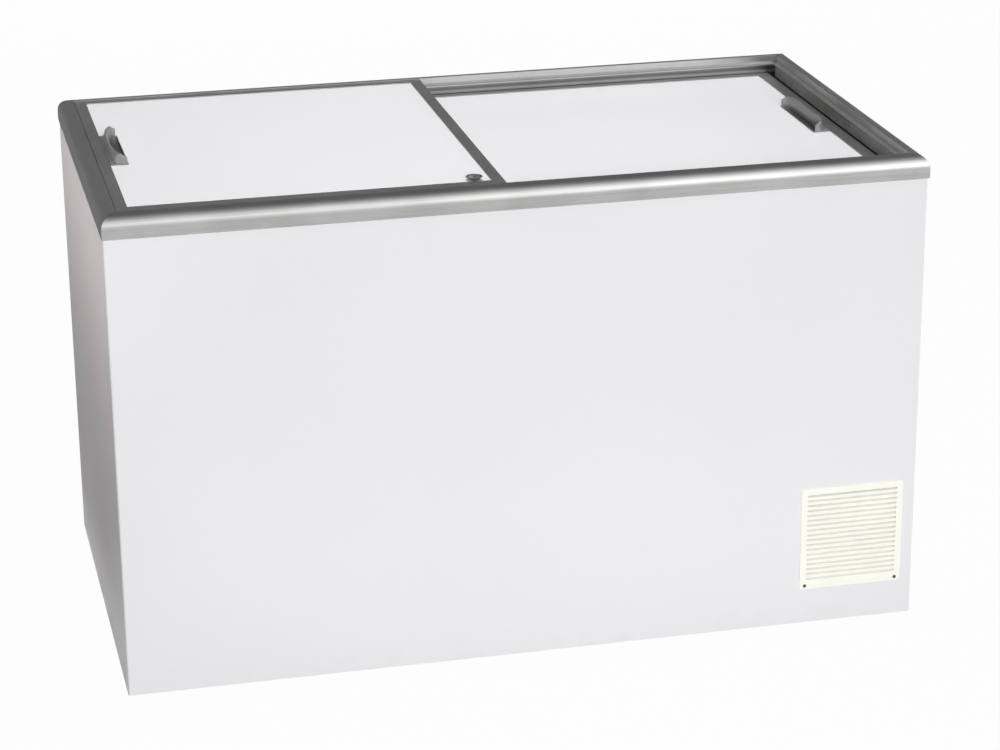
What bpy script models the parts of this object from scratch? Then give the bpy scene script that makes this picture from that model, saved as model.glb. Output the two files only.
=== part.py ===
"""Chest freezer with two sliding lids: every piece is a named object, in metres, with +Z up.

The origin is on the floor at the centre of the footprint. +X runs along the length to the right
as seen from the front, and the front faces -Y.
"""

import math

import bmesh
import bpy
from mathutils import Vector

# Cabinet
CABINET_LENGTH = 1.300
CABINET_DEPTH = 0.711
CREST_HEIGHT = 0.8005
FOOT_HEIGHT = 0.015
FOOT_RADIUS = 0.020
FOOT_SETBACK = 0.085
SHEET = 0.001
SHELL_CORNER = 0.004
REAR_FLANGE = 0.020
PAN_EDGE = 0.012
INSULATION = 0.058
FLOOR_INSULATION = 0.060

# Top frame, one profile on all four sides
FRAME_OVERHANG = 0.0015
RIM_RADIUS = 0.0204
RIM_FLAT = 0.0051
SKIRT_HEIGHT = 0.0162
RIM_EASE = 0.0006
FRAME_WALL = 0.0025
UPPER_LEDGE = 0.0095
LEDGE_THICKNESS = 0.003
UNDERCUT = 0.005
LOWER_LEDGE = 0.019
KEY_LEG = 0.045

# Lids
UPPER_LID_DROP = 0.002
LID_SPACING = 0.028
LID_THICKNESS = 0.010
LID_SKIN = 0.0012
LID_EDGE_WALL = 0.0015
LID_SIDE_GAP = 0.0015
LID_END_GAP = 0.0145
LEFT_LID_LENGTH = 0.598
LID_OVERLAP = 0.034
LEFT_END_STRIP = 0.0185
LEFT_INNER_STRIP = 0.0195
RIGHT_END_STRIP = 0.0215
RIGHT_INNER_STRIP = 0.0220
FRONT_STRIP = 0.0240
BACK_STRIP = 0.0155
STILE_WIDTH = 0.012
STILE_SHELF = 0.003

# Finger grip on each lid: a bowed wall round a shallow cup, low in the middle and tall near its ends
HANDLE_LENGTH = 0.176
HANDLE_WIDTH = 0.0285
HANDLE_OFFSET = 0.016
HANDLE_HEIGHT = 0.0175
HANDLE_DIP = 0.0098
HANDLE_WALL = 0.0026
HANDLE_PLATE = 0.0014
HANDLE_CUP = 0.0040
HANDLE_CUP_SKIN = 0.0009
HANDLE_BOW = 2.4
HANDLE_STEPS = 22

# Lock on the left lid
LOCK_INSET_X = 0.0398
LOCK_INSET_Y = 0.038
LOCK_PLATE = 0.0018
LOCK_COLLAR_RADIUS = 0.0084
LOCK_COLLAR_HEIGHT = 0.0050
LOCK_FLAP_RADIUS = 0.0062
LOCK_FLAP_HEIGHT = 0.0030
LOCK_FLAP_OFFSET = 0.0114
LOCK_BARREL_RADIUS = 0.0058
LOCK_BARREL_PROUD = 0.0010
LOCK_BARREL_TAIL = 0.0020
KEY_SLOT_WIDTH = 0.0018
KEY_SLOT_DEPTH = 0.0030
CAM_LENGTH = 0.020
CAM_WIDTH = 0.008
CAM_THICKNESS = 0.0025

# Machine bay at the right end, behind the grille
BAY_LENGTH = 0.242
BAY_HEIGHT = 0.275
GRILLE_WIDTH = 0.174
GRILLE_HEIGHT = 0.177
GRILLE_SIDE = 0.021
GRILLE_RISE = 0.060
GRILLE_PROUD = 0.0013
GRILLE_DEPTH = 0.008
GRILLE_FLANGE = 0.006
GRILLE_CORNER = 0.004
LOUVRE_COUNT = 18
LOUVRE_PITCH = 0.0086
LOUVRE_OPEN = 0.0036
LOUVRE_SIDE = 0.0105
LOUVRE_DROP = 0.004
GRILLE_SCREW_SIDE = 0.0090
GRILLE_SCREW_RISE = 0.0056
SCREW_INSET = 0.0075
SCREW_HEAD = 0.0030
SCREW_SHANK = 0.0016
SCREW_HEAD_HEIGHT = 0.0009
SCREW_LENGTH = 0.010

# Vented cover over the machine bay, at the back
COVER_MARGIN = 0.012
COVER_RISE = 0.020
COVER_SLOTS = 9
COVER_SLOT_SIDE = 0.030
COVER_SLOT_RISE = 0.070
GLAND_SIDE = 0.036
GLAND_RISE = 0.034
GLAND_RADIUS = 0.0105
GLAND_FLANGE = 0.0140
GLAND_PROUD = 0.0011
GLAND_DEPTH = 0.012
GLAND_BORE = 0.005

# Cooling machinery
COIL_TUBE = 0.004
COIL_TURNS = 6
COIL_PITCH = 0.040
COIL_DROP = 0.060
COIL_STEP_GAP = 0.030
CONDENSER_TUBE = 0.0045
CONDENSER_PASSES = 8
CONDENSER_PITCH = 0.022
CONDENSER_SETBACK = 0.030
SHROUD_THICKNESS = 0.010
SHROUD_MARGIN = 0.016
FAN_RADIUS = 0.070
FAN_RISE = 0.022
FAN_RING_GAP = 0.005
FAN_AIR_GAP = 0.004
FAN_HUB_RADIUS = 0.018
FAN_HUB = 0.022
FAN_BLADES = 5
BLADE_ROOT = 0.020
BLADE_TIP = 0.048
BLADE_THICKNESS = 0.0020
MOTOR_RADIUS = 0.026
MOTOR_LENGTH = 0.050
BRACKET_SHEET = 0.002
BRACKET_FOOT = 0.040
BRACKET_MARGIN = 0.008
COMPRESSOR_RADIUS = 0.074
COMPRESSOR_HEIGHT = 0.160
COMPRESSOR_GAP = 0.030
COMPRESSOR_PLATE = 0.003
PLATE_CORNER = 0.012
MOUNT_HEIGHT = 0.018
MOUNT_RADIUS = 0.012
MOUNT_INSET = 0.014
TERMINAL_BOX = (0.060, 0.034, 0.068)
THERMOSTAT_BOX = (0.075, 0.050, 0.038)
THERMOSTAT_SIDE = 0.050
DRIER_RADIUS = 0.009
DRIER_NECK = 0.003
DRIER_CONE = 0.012
DRIER_LENGTH = 0.102
DRIER_RISE = 0.080
DRIER_SETBACK = 0.055

# Clearances
CLEARANCE = 0.0003
RUN_CLEARANCE = 0.0004
HOLE_CLEARANCE = 0.0004

# Derived positions
HALF_LENGTH = CABINET_LENGTH / 2
HALF_DEPTH = CABINET_DEPTH / 2
RIM_WIDTH = RIM_RADIUS + RIM_FLAT
UPPER_LEDGE_LEVEL = UPPER_LID_DROP + LID_THICKNESS + RUN_CLEARANCE
LOWER_LEDGE_LEVEL = UPPER_LEDGE_LEVEL + LID_SPACING
LIP = RIM_WIDTH + UPPER_LEDGE
LOWER_WALL = LIP - UNDERCUT
THROAT = LOWER_WALL + LOWER_LEDGE
FRAME_SEAT = CREST_HEIGHT - LOWER_LEDGE_LEVEL - FRAME_WALL - CLEARANCE
OUTER_X = HALF_LENGTH + FRAME_OVERHANG
OUTER_Y = HALF_DEPTH + FRAME_OVERHANG
INSIDE_X = HALF_LENGTH - SHEET - CLEARANCE
INSIDE_Y = HALF_DEPTH - SHEET - CLEARANCE
REAR_PANEL_Y = HALF_DEPTH - SHEET - CLEARANCE
TANK_X = HALF_LENGTH - INSULATION
TANK_Y = HALF_DEPTH - INSULATION
COIL_GAP = 2 * COIL_TUBE + 2 * RUN_CLEARANCE
BAY_X = HALF_LENGTH - BAY_LENGTH
BAY_TOP = FOOT_HEIGHT + BAY_HEIGHT
PAN_TOP = FOOT_HEIGHT + CLEARANCE + SHEET
TANK_FLOOR = FOOT_HEIGHT + FLOOR_INSULATION
STEP_X = BAY_X - INSULATION * 0.75
STEP_FLOOR = BAY_TOP + SHEET + INSULATION
LEFT_TOP = CREST_HEIGHT - UPPER_LID_DROP
RIGHT_TOP = LEFT_TOP - LID_SPACING
LEFT_LID_START = -OUTER_X + RIM_WIDTH + LID_SIDE_GAP
LEFT_LID_END = LEFT_LID_START + LEFT_LID_LENGTH
RIGHT_LID_END = OUTER_X - LOWER_WALL - LID_END_GAP
RIGHT_LID_START = LEFT_LID_END - LID_OVERLAP
LEFT_LID_Y = OUTER_Y - RIM_WIDTH - LID_SIDE_GAP
RIGHT_LID_Y = OUTER_Y - LOWER_WALL - LID_SIDE_GAP
LOCK_X = LEFT_LID_END - LOCK_INSET_X
LOCK_Y = -LEFT_LID_Y + LOCK_INSET_Y
GRILLE_X = HALF_LENGTH - GRILLE_SIDE - GRILLE_WIDTH / 2
GRILLE_Z = FOOT_HEIGHT + GRILLE_RISE + GRILLE_HEIGHT / 2
FAN_X = BAY_X + BAY_LENGTH / 2
FAN_Z = PAN_TOP + FAN_RADIUS + FAN_RISE
CONDENSER_Y = -HALF_DEPTH + CONDENSER_SETBACK
SHROUD_FRONT = CONDENSER_Y + CONDENSER_TUBE + RUN_CLEARANCE
SHROUD_BACK = SHROUD_FRONT + SHROUD_THICKNESS
FAN_FRONT = SHROUD_BACK + FAN_AIR_GAP
MOTOR_FRONT = FAN_FRONT + FAN_HUB + RUN_CLEARANCE
MOTOR_BACK = MOTOR_FRONT + MOTOR_LENGTH
COMPRESSOR_Y = MOTOR_BACK + COMPRESSOR_GAP + COMPRESSOR_RADIUS
PLATE_Z = PAN_TOP + CLEARANCE + MOUNT_HEIGHT + CLEARANCE
COMPRESSOR_BASE = PLATE_Z + COMPRESSOR_PLATE + CLEARANCE

ARC_STEPS = 8
ROUND_STEPS = 24

CORNERS = (
    (-1, -1, "front_left"),
    (1, -1, "front_right"),
    (-1, 1, "back_left"),
    (1, 1, "back_right"),
)


def clear_scene():
    for found in list(bpy.data.objects):
        bpy.data.objects.remove(found, do_unlink=True)


def material(name, colour, roughness, metallic=0.0):
    made = bpy.data.materials.new(name)
    made.use_nodes = True
    shader = made.node_tree.nodes["Principled BSDF"]
    shader.inputs["Base Color"].default_value = (*colour, 1.0)
    shader.inputs["Roughness"].default_value = roughness
    shader.inputs["Metallic"].default_value = metallic
    made.diffuse_color = (*colour, 1.0)
    return made


def make_materials():
    return {
        "white_paint": material("white_paint", (0.80, 0.80, 0.82), 0.42),
        "galvanised": material("galvanised", (0.46, 0.47, 0.48), 0.45, 0.9),
        "liner_metal": material("liner_metal", (0.74, 0.75, 0.76), 0.38, 0.7),
        "foam": material("foam", (0.80, 0.70, 0.46), 0.95),
        "frame_metal": material("frame_metal", (0.42, 0.42, 0.41), 0.35, 0.85),
        "lid_strip": material("lid_strip", (0.20, 0.20, 0.195), 0.45, 0.3),
        "lid_white": material("lid_white", (0.80, 0.80, 0.82), 0.40),
        "grey_plastic": material("grey_plastic", (0.22, 0.22, 0.22), 0.45),
        "cream_plastic": material("cream_plastic", (0.90, 0.89, 0.80), 0.45),
        "dark_plastic": material("dark_plastic", (0.03, 0.03, 0.03), 0.5),
        "screw_metal": material("screw_metal", (0.10, 0.10, 0.10), 0.4, 0.8),
        "lock_metal": material("lock_metal", (0.25, 0.25, 0.25), 0.35, 0.9),
        "black_paint": material("black_paint", (0.02, 0.02, 0.02), 0.4),
        "copper": material("copper", (0.72, 0.36, 0.20), 0.35, 1.0),
        "rubber": material("rubber", (0.025, 0.025, 0.025), 0.8),
    }


def add_mesh(name, points, faces, paint, origin=(0, 0, 0)):
    """One object from world points, with its origin at the given place and its faces outward."""
    base = Vector(origin)
    shape = bpy.data.meshes.new(name)
    build = bmesh.new()
    corners = [build.verts.new(Vector(p) - base) for p in points]
    for face in faces:
        build.faces.new([corners[i] for i in face])
    bmesh.ops.recalc_face_normals(build, faces=build.faces)
    build.to_mesh(shape)
    build.free()
    made = bpy.data.objects.new(name, shape)
    made.location = base
    bpy.context.scene.collection.objects.link(made)
    if paint is not None:
        shape.materials.append(paint)
    return made


def smooth(made, angle=35):
    """Rounded faces shade smoothly, and edges over the angle stay sharp."""
    made.data.shade_smooth()
    shape = bmesh.new()
    shape.from_mesh(made.data)
    for edge in shape.edges:
        edge.smooth = edge.calc_face_angle(0.0) < math.radians(angle)
    shape.to_mesh(made.data)
    shape.free()
    return made


def joined(pieces):
    """Points and faces of several closed shapes in one list, for a cutter."""
    points = []
    faces = []
    for more_points, more_faces in pieces:
        start = len(points)
        points.extend(more_points)
        faces.extend([[i + start for i in face] for face in more_faces])
    return points, faces


def prism(outline, axis, low, high):
    """A flat outline pushed along an axis: x takes (y, z), y takes (x, z) and z takes (x, y)."""
    place = {
        "x": lambda a, b, c: (c, a, b),
        "y": lambda a, b, c: (a, c, b),
        "z": lambda a, b, c: (a, b, c),
    }[axis]
    count = len(outline)
    points = [place(a, b, low) for a, b in outline] + [place(a, b, high) for a, b in outline]
    faces = [list(range(count)), list(range(count, 2 * count))]
    for i in range(count):
        j = (i + 1) % count
        faces.append([i, j, count + j, count + i])
    return points, faces


def block(low, high):
    outline = [(low[0], low[1]), (high[0], low[1]), (high[0], high[1]), (low[0], high[1])]
    return prism(outline, "z", low[2], high[2])


def disc_outline(centre, radius, steps=ROUND_STEPS):
    turn = 2 * math.pi / steps
    return [
        (centre[0] + radius * math.cos(turn * i), centre[1] + radius * math.sin(turn * i))
        for i in range(steps)
    ]


def rounded_outline(low, high, radius, steps=4):
    """A rectangle with rounded corners, counter-clockwise."""
    centres = [
        (high[0] - radius, high[1] - radius, 0),
        (low[0] + radius, high[1] - radius, 90),
        (low[0] + radius, low[1] + radius, 180),
        (high[0] - radius, low[1] + radius, 270),
    ]
    outline = []
    for x, y, start in centres:
        for i in range(steps + 1):
            angle = math.radians(start + 90 * i / steps)
            outline.append((x + radius * math.cos(angle), y + radius * math.sin(angle)))
    return outline


def turned(profile, centre, axis="z", steps=ROUND_STEPS):
    """A solid of revolution. The profile is (radius, height) from the bottom to the top."""
    place = {
        "z": lambda a, b, c: (centre[0] + a, centre[1] + b, centre[2] + c),
        "y": lambda a, b, c: (centre[0] + a, centre[1] + c, centre[2] + b),
    }[axis]
    points = []
    for radius, height in profile:
        for i in range(steps):
            angle = 2 * math.pi * i / steps
            points.append(place(radius * math.cos(angle), radius * math.sin(angle), height))
    faces = [list(range(steps))]
    rows = len(profile)
    for row in range(rows - 1):
        for i in range(steps):
            j = (i + 1) % steps
            faces.append(
                [row * steps + i, row * steps + j, (row + 1) * steps + j, (row + 1) * steps + i]
            )
    faces.append([(rows - 1) * steps + i for i in range(steps)])
    return points, faces


def tube(path, radius, sides=8):
    """A round tube along a path, closed at both ends."""
    path = [Vector(p) for p in path]
    points = []
    side = None
    for i, here in enumerate(path):
        before = path[max(i - 1, 0)]
        after = path[min(i + 1, len(path) - 1)]
        run = (after - before).normalized()
        if side is None:
            side = run.orthogonal().normalized()
        side = (side - run * side.dot(run)).normalized()
        up = run.cross(side)
        for k in range(sides):
            angle = 2 * math.pi * k / sides
            points.append(here + radius * (math.cos(angle) * side + math.sin(angle) * up))
    faces = [list(range(sides))]
    for row in range(len(path) - 1):
        for i in range(sides):
            j = (i + 1) % sides
            faces.append(
                [row * sides + i, row * sides + j, (row + 1) * sides + j, (row + 1) * sides + i]
            )
    faces.append([(len(path) - 1) * sides + i for i in range(sides)])
    return points, faces


def add_cutter(name, shape):
    helper = add_mesh(name, *shape, None)
    helper.hide_render = True
    helper.display_type = "WIRE"
    return helper


def cut(made, shape, operation="DIFFERENCE"):
    helper = add_cutter(f"{made.name}_{operation.lower()}_{len(made.modifiers)}", shape)
    change = made.modifiers.new(helper.name, "BOOLEAN")
    change.operation = operation
    change.solver = "EXACT"
    change.object = helper


def hang(made, empty):
    made.parent = empty
    made.location = made.location - empty.location


def add_axis(name, place):
    empty = bpy.data.objects.new(name, None)
    empty.empty_display_size = 0.05
    empty.location = place
    bpy.context.scene.collection.objects.link(empty)
    return empty


def arc(centre, radius_u, radius_v, start, end, steps=ARC_STEPS):
    points = []
    for i in range(steps + 1):
        angle = math.radians(start + (end - start) * i / steps)
        points.append((centre[0] + radius_u * math.cos(angle), centre[1] + radius_v * math.sin(angle)))
    return points


def frame_profile():
    """The extrusion's section: distance in from the outer face, and height from the crest."""
    wall = FRAME_WALL
    skin = FRAME_OVERHANG - CLEARANCE
    upper = -UPPER_LEDGE_LEVEL
    lower = -LOWER_LEDGE_LEVEL
    under = upper - LEDGE_THICKNESS
    nose = LEDGE_THICKNESS / 2
    outside = [(0, -RIM_RADIUS - SKIRT_HEIGHT)]
    outside += arc((RIM_RADIUS, -RIM_RADIUS), RIM_RADIUS, RIM_RADIUS, 180, 90)
    outside += [(RIM_WIDTH - RIM_EASE, 0), (RIM_WIDTH, -RIM_EASE), (RIM_WIDTH, upper)]
    outside += [(LIP - nose, upper), (LIP, upper - nose), (LIP, under)]
    outside += [(LOWER_WALL + nose, under), (LOWER_WALL, under - nose), (LOWER_WALL, lower)]
    outside += [(THROAT, lower), (THROAT, lower - wall)]
    inside = [(LOWER_WALL - wall, lower - wall), (LOWER_WALL - wall, upper - wall)]
    inside += [(RIM_WIDTH - wall, upper - wall), (RIM_WIDTH - wall, -wall)]
    inside += arc((RIM_RADIUS, -RIM_RADIUS), RIM_RADIUS - skin, RIM_RADIUS - wall, 90, 180)
    inside += [(skin, -RIM_RADIUS - SKIRT_HEIGHT)]
    return outside + inside


def along(side, inward, run, half_x, half_y):
    """World x and y of a point on one side of a rectangle centred on the origin."""
    if side == "front":
        return run, -half_y + inward
    if side == "back":
        return run, half_y - inward
    if side == "left":
        return -half_x + inward, run
    return half_x - inward, run


def add_frame(paint):
    section = frame_profile()
    count = len(section)
    for side in ("front", "back", "left", "right"):
        reach = OUTER_X if side in ("front", "back") else OUTER_Y
        points = []
        for end in (-1, 1):
            for inward, height in section:
                run = end * (reach - inward - CLEARANCE / 2)
                x, y = along(side, inward, run, OUTER_X, OUTER_Y)
                points.append((x, y, CREST_HEIGHT + height))
        faces = [list(range(count)), list(range(count, 2 * count))]
        for i in range(count):
            j = (i + 1) % count
            faces.append([i, j, count + j, count + i])
        smooth(add_mesh(f"frame_{side}", points, faces, paint), 28)


def add_corner_keys(paint):
    """An L-shaped key inside the hollow of the frame at each mitre."""
    skin = FRAME_OVERHANG - CLEARANCE
    high = RIM_WIDTH - FRAME_WALL - CLEARANCE
    low = high - RIM_RADIUS * 0.62
    lean = (RIM_RADIUS - low) / (RIM_RADIUS - skin)
    top = -RIM_RADIUS + (RIM_RADIUS - FRAME_WALL) * math.sqrt(1 - lean * lean) - 2 * CLEARANCE
    bottom = top - RIM_RADIUS * 0.45
    leg = high + KEY_LEG
    outline = [(low, low), (leg, low), (leg, high), (high, high), (high, leg), (low, leg)]
    for sx, sy, name in CORNERS:
        placed = [(sx * (OUTER_X - a), sy * (OUTER_Y - b)) for a, b in outline]
        shape = prism(placed, "z", CREST_HEIGHT + bottom, CREST_HEIGHT + top)
        add_mesh(f"corner_key_{name}", *shape, paint)


def wrap_outline():
    """The bent sheet seen from above: front, both sides and a short return at the back."""
    outer = []
    inner = []
    for x, y, start in ((-1, 1, 90), (-1, -1, 180), (1, -1, 270), (1, 1, 0)):
        centre = (x * (HALF_LENGTH - SHELL_CORNER), y * (HALF_DEPTH - SHELL_CORNER))
        outer += arc(centre, SHELL_CORNER, SHELL_CORNER, start, start + 90, 5)
        thin = SHELL_CORNER - SHEET
        inner += arc(centre, thin, thin, start, start + 90, 5)
    end = HALF_LENGTH - REAR_FLANGE
    first = [(-end, HALF_DEPTH)]
    last = [(end, HALF_DEPTH), (end, HALF_DEPTH - SHEET)]
    return first + outer + last + inner[::-1] + [(-end, HALF_DEPTH - SHEET)]


def grille_screw_places():
    low = GRILLE_Z - GRILLE_HEIGHT / 2 + GRILLE_SCREW_RISE
    reach = GRILLE_WIDTH / 2 - GRILLE_SCREW_SIDE
    return [(GRILLE_X - reach, low), (GRILLE_X + reach, low)]


def drill(places, radius, low, high):
    return joined([prism(disc_outline(p, radius, 12), "y", low, high) for p in places])


def grille_opening(grow):
    half_x = GRILLE_WIDTH / 2 - GRILLE_FLANGE - SCREW_INSET * 0.6 + grow
    half_z = GRILLE_HEIGHT / 2 - GRILLE_FLANGE - SCREW_INSET * 0.6 + grow
    low = (GRILLE_X - half_x, GRILLE_Z - half_z)
    high = (GRILLE_X + half_x, GRILLE_Z + half_z)
    return rounded_outline(low, high, GRILLE_CORNER)


def add_shell(paints):
    top = CREST_HEIGHT - RIM_RADIUS - CLEARANCE * 4
    wrap = add_mesh("outer_wrap", *prism(wrap_outline(), "z", FOOT_HEIGHT, top), paints["white_paint"])
    smooth(wrap, 28)
    hole = prism(grille_opening(CLEARANCE), "y", -HALF_DEPTH - SHEET, -HALF_DEPTH + 2 * SHEET)
    cut(wrap, hole)
    pilot = SCREW_SHANK + HOLE_CLEARANCE
    cut(wrap, drill(grille_screw_places(), pilot, -HALF_DEPTH - SHEET, -HALF_DEPTH + 2 * SHEET))
    add_rear_panel(paints, top)
    add_base_pan(paints["galvanised"])
    add_bay_partition(paints["galvanised"])


def cover_box():
    """The vented cover over the machine bay, in the plane of the wrap's rear return."""
    low = (BAY_X + COVER_MARGIN, FOOT_HEIGHT + COVER_RISE)
    high = (HALF_LENGTH - REAR_FLANGE - CLEARANCE, BAY_TOP - COVER_MARGIN)
    return low, high


def cover_screw_places():
    low, high = cover_box()
    inset = SCREW_INSET
    return [
        (x, z) for x in (low[0] + inset, high[0] - inset) for z in (low[1] + inset, high[1] - inset)
    ]


def add_rear_panel(paints, top):
    back = REAR_PANEL_Y
    reach = HALF_LENGTH - SHELL_CORNER - CLEARANCE
    low = (-reach, back - SHEET, FOOT_HEIGHT + CLEARANCE)
    panel = add_mesh("rear_panel", *block(low, (reach, back, top)), paints["white_paint"])
    cover_low, cover_high = cover_box()
    lap = 2 * SCREW_INSET
    hole = block(
        (cover_low[0] + lap, back - 3 * SHEET, cover_low[1] + lap),
        (cover_high[0] - lap, back + SHEET, cover_high[1] - lap),
    )
    cut(panel, hole)
    pilot = SCREW_SHANK + HOLE_CLEARANCE
    places = cover_screw_places()
    cut(panel, drill(places, pilot, back - 3 * SHEET, back + SHEET))
    add_rear_cover(paints, places)


def gland_place():
    low = cover_box()[0]
    return low[0] + GLAND_SIDE, low[1] + GLAND_RISE


def cover_slots(low, high, front):
    """Cutters for the rows of long slots in the rear cover."""
    first = low[1] + COVER_SLOT_RISE
    pitch = (high[1] - COVER_SLOT_SIDE - first) / (COVER_SLOTS - 1)
    half = pitch * 0.22
    left = low[0] + COVER_SLOT_SIDE
    right = high[0] - COVER_SLOT_SIDE
    slots = []
    for row in range(COVER_SLOTS):
        z = first + row * pitch
        outline = rounded_outline((left, z - half), (right, z + half), half * 0.95)
        slots.append(prism(outline, "y", front - SHEET, HALF_DEPTH + SHEET))
    return joined(slots)


def add_rear_cover(paints, places):
    low, high = cover_box()
    front = HALF_DEPTH - SHEET
    shape = prism(rounded_outline(low, high, GRILLE_CORNER), "y", front, HALF_DEPTH)
    cover = add_mesh("rear_cover", *shape, paints["white_paint"])
    cut(cover, cover_slots(low, high, front))
    pilot = SCREW_SHANK + HOLE_CLEARANCE
    cut(cover, drill(places, pilot, front - SHEET, HALF_DEPTH + SHEET))
    passage = GLAND_RADIUS + HOLE_CLEARANCE
    cut(cover, drill([gland_place()], passage, front - SHEET, HALF_DEPTH + SHEET))
    profile = [
        (SCREW_SHANK, -SCREW_LENGTH),
        (SCREW_SHANK, 0),
        (SCREW_HEAD, 0),
        (SCREW_HEAD * 0.7, SCREW_HEAD_HEIGHT),
    ]
    for i, (x, z) in enumerate(places):
        shape = turned(profile, (x, HALF_DEPTH + CLEARANCE, z), "y", 12)
        add_mesh(f"rear_screw_{i + 1}", *shape, paints["screw_metal"])
    add_gland(paints["dark_plastic"])


def add_gland(paint):
    """The flanged bush where the supply cord leaves the machine bay."""
    x, z = gland_place()
    profile = [
        (GLAND_RADIUS, -GLAND_DEPTH),
        (GLAND_RADIUS, 0),
        (GLAND_FLANGE, 0),
        (GLAND_FLANGE * 0.93, GLAND_PROUD),
    ]
    shape = turned(profile, (x, HALF_DEPTH + CLEARANCE, z), "y", 20)
    gland = add_mesh("cord_gland", *shape, paint)
    deep = 2 * GLAND_DEPTH
    cut(gland, drill([(x, z)], GLAND_BORE, HALF_DEPTH - deep, HALF_DEPTH + deep))


def add_base_pan(paint):
    low = (-INSIDE_X, -INSIDE_Y, FOOT_HEIGHT + CLEARANCE)
    high = (INSIDE_X, REAR_PANEL_Y - SHEET - CLEARANCE, PAN_TOP + PAN_EDGE)
    outline = rounded_outline(low[:2], high[:2], SHELL_CORNER)
    pan = add_mesh("base_pan", *prism(outline, "z", low[2], high[2]), paint)
    hollow = block(
        (low[0] + SHEET, low[1] + SHEET, PAN_TOP), (high[0] - SHEET, high[1] - SHEET, high[2] + SHEET)
    )
    cut(pan, hollow)


def bay_wall_x():
    return BAY_X - SHEET


def add_bay_partition(paint):
    """A folded sheet between the foam and the machine bay: one wall and a roof."""
    low = PAN_TOP + CLEARANCE
    right = INSIDE_X - SHEET - CLEARANCE
    outline = [
        (bay_wall_x(), low),
        (BAY_X, low),
        (BAY_X, BAY_TOP),
        (right, BAY_TOP),
        (right, BAY_TOP + SHEET),
        (bay_wall_x(), BAY_TOP + SHEET),
    ]
    front = -INSIDE_Y + SHEET + CLEARANCE
    back = REAR_PANEL_Y - 2 * SHEET - 2 * CLEARANCE
    add_mesh("bay_partition", *prism(outline, "y", front, back), paint)


def tank_outline(grow, top):
    """The tank seen from the front, with its step over the machine bay."""
    return [
        (-TANK_X - grow, TANK_FLOOR - grow),
        (STEP_X + grow, TANK_FLOOR - grow),
        (STEP_X + grow, STEP_FLOOR - grow),
        (TANK_X + grow, STEP_FLOOR - grow),
        (TANK_X + grow, top),
        (-TANK_X - grow, top),
    ]


def add_tank(paints):
    top = FRAME_SEAT
    shape = prism(tank_outline(SHEET, top - SHEET / 2), "y", -TANK_Y - SHEET, TANK_Y + SHEET)
    liner = add_mesh("inner_liner", *shape, paints["liner_metal"])
    reach_x = OUTER_X - LOWER_WALL + FRAME_WALL
    reach_y = OUTER_Y - LOWER_WALL + FRAME_WALL
    flange = block((-reach_x, -reach_y, top - SHEET), (reach_x, reach_y, top))
    cut(liner, flange, "UNION")
    cut(liner, prism(tank_outline(0, top + SHEET), "y", -TANK_Y, TANK_Y))
    add_foam(paints["foam"], top - SHEET - CLEARANCE)
    add_evaporator(paints["copper"])


def add_foam(paint, top):
    edge = SHEET + CLEARANCE
    low = (-INSIDE_X + edge, -INSIDE_Y + edge, PAN_TOP + CLEARANCE)
    high = (INSIDE_X - edge, REAR_PANEL_Y - SHEET - edge - CLEARANCE, top)
    outline = rounded_outline(low[:2], high[:2], SHELL_CORNER)
    foam = add_mesh("insulation_foam", *prism(outline, "z", low[2], high[2]), paint)
    gap = SHEET + CLEARANCE
    cut(foam, prism(tank_outline(gap, top + SHEET), "y", -TANK_Y - gap, TANK_Y + gap))
    cut(foam, coil_chase(gap))
    past = INSULATION / 4
    bay = block(
        (bay_wall_x() - CLEARANCE, low[1] - past, low[2] - past),
        (high[0] + past, high[1] + past, BAY_TOP + SHEET + CLEARANCE),
    )
    cut(foam, bay)


def coil_levels():
    """The highest and lowest run of the evaporator tube."""
    high = FRAME_SEAT - COIL_DROP
    low = max(high - COIL_TURNS * COIL_PITCH, STEP_FLOOR + COIL_STEP_GAP)
    return low, high


def coil_chase(gap):
    """Room in the foam for the evaporator tube, round the outside of the liner."""
    low, high = coil_levels()
    wide = gap + COIL_GAP
    room = COIL_TUBE + 2 * RUN_CLEARANCE
    return block((-TANK_X - wide, -TANK_Y - wide, low - room), (TANK_X + wide, TANK_Y + wide, high + room))


def add_evaporator(paint):
    low, high = coil_levels()
    away = COIL_TUBE + RUN_CLEARANCE
    face_x = TANK_X + SHEET
    face_y = TANK_Y + SHEET
    corners = ((1, 1, 0), (-1, 1, 90), (-1, -1, 180), (1, -1, 270))
    steps = 3
    path = []
    total = COIL_TURNS * 4 * (steps + 1) - 1
    for turn in range(COIL_TURNS):
        for x, y, start in corners:
            for i in range(steps + 1):
                angle = math.radians(start + 90 * i / steps)
                level = high - (high - low) * len(path) / total
                path.append(
                    (x * face_x + away * math.cos(angle), y * face_y + away * math.sin(angle), level)
                )
    smooth(add_mesh("evaporator_coil", *tube(path, COIL_TUBE, 8), paint), 60)


def add_feet(paint):
    for sx, sy, name in CORNERS:
        place = (sx * (HALF_LENGTH - FOOT_SETBACK), sy * (HALF_DEPTH - FOOT_SETBACK), 0)
        profile = [
            (FOOT_RADIUS * 0.85, 0),
            (FOOT_RADIUS * 0.95, FOOT_HEIGHT * 0.13),
            (FOOT_RADIUS, FOOT_HEIGHT * 0.87),
            (FOOT_RADIUS, FOOT_HEIGHT),
        ]
        smooth(add_mesh(f"foot_{name}", *turned(profile, place), paint), 35)


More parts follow.
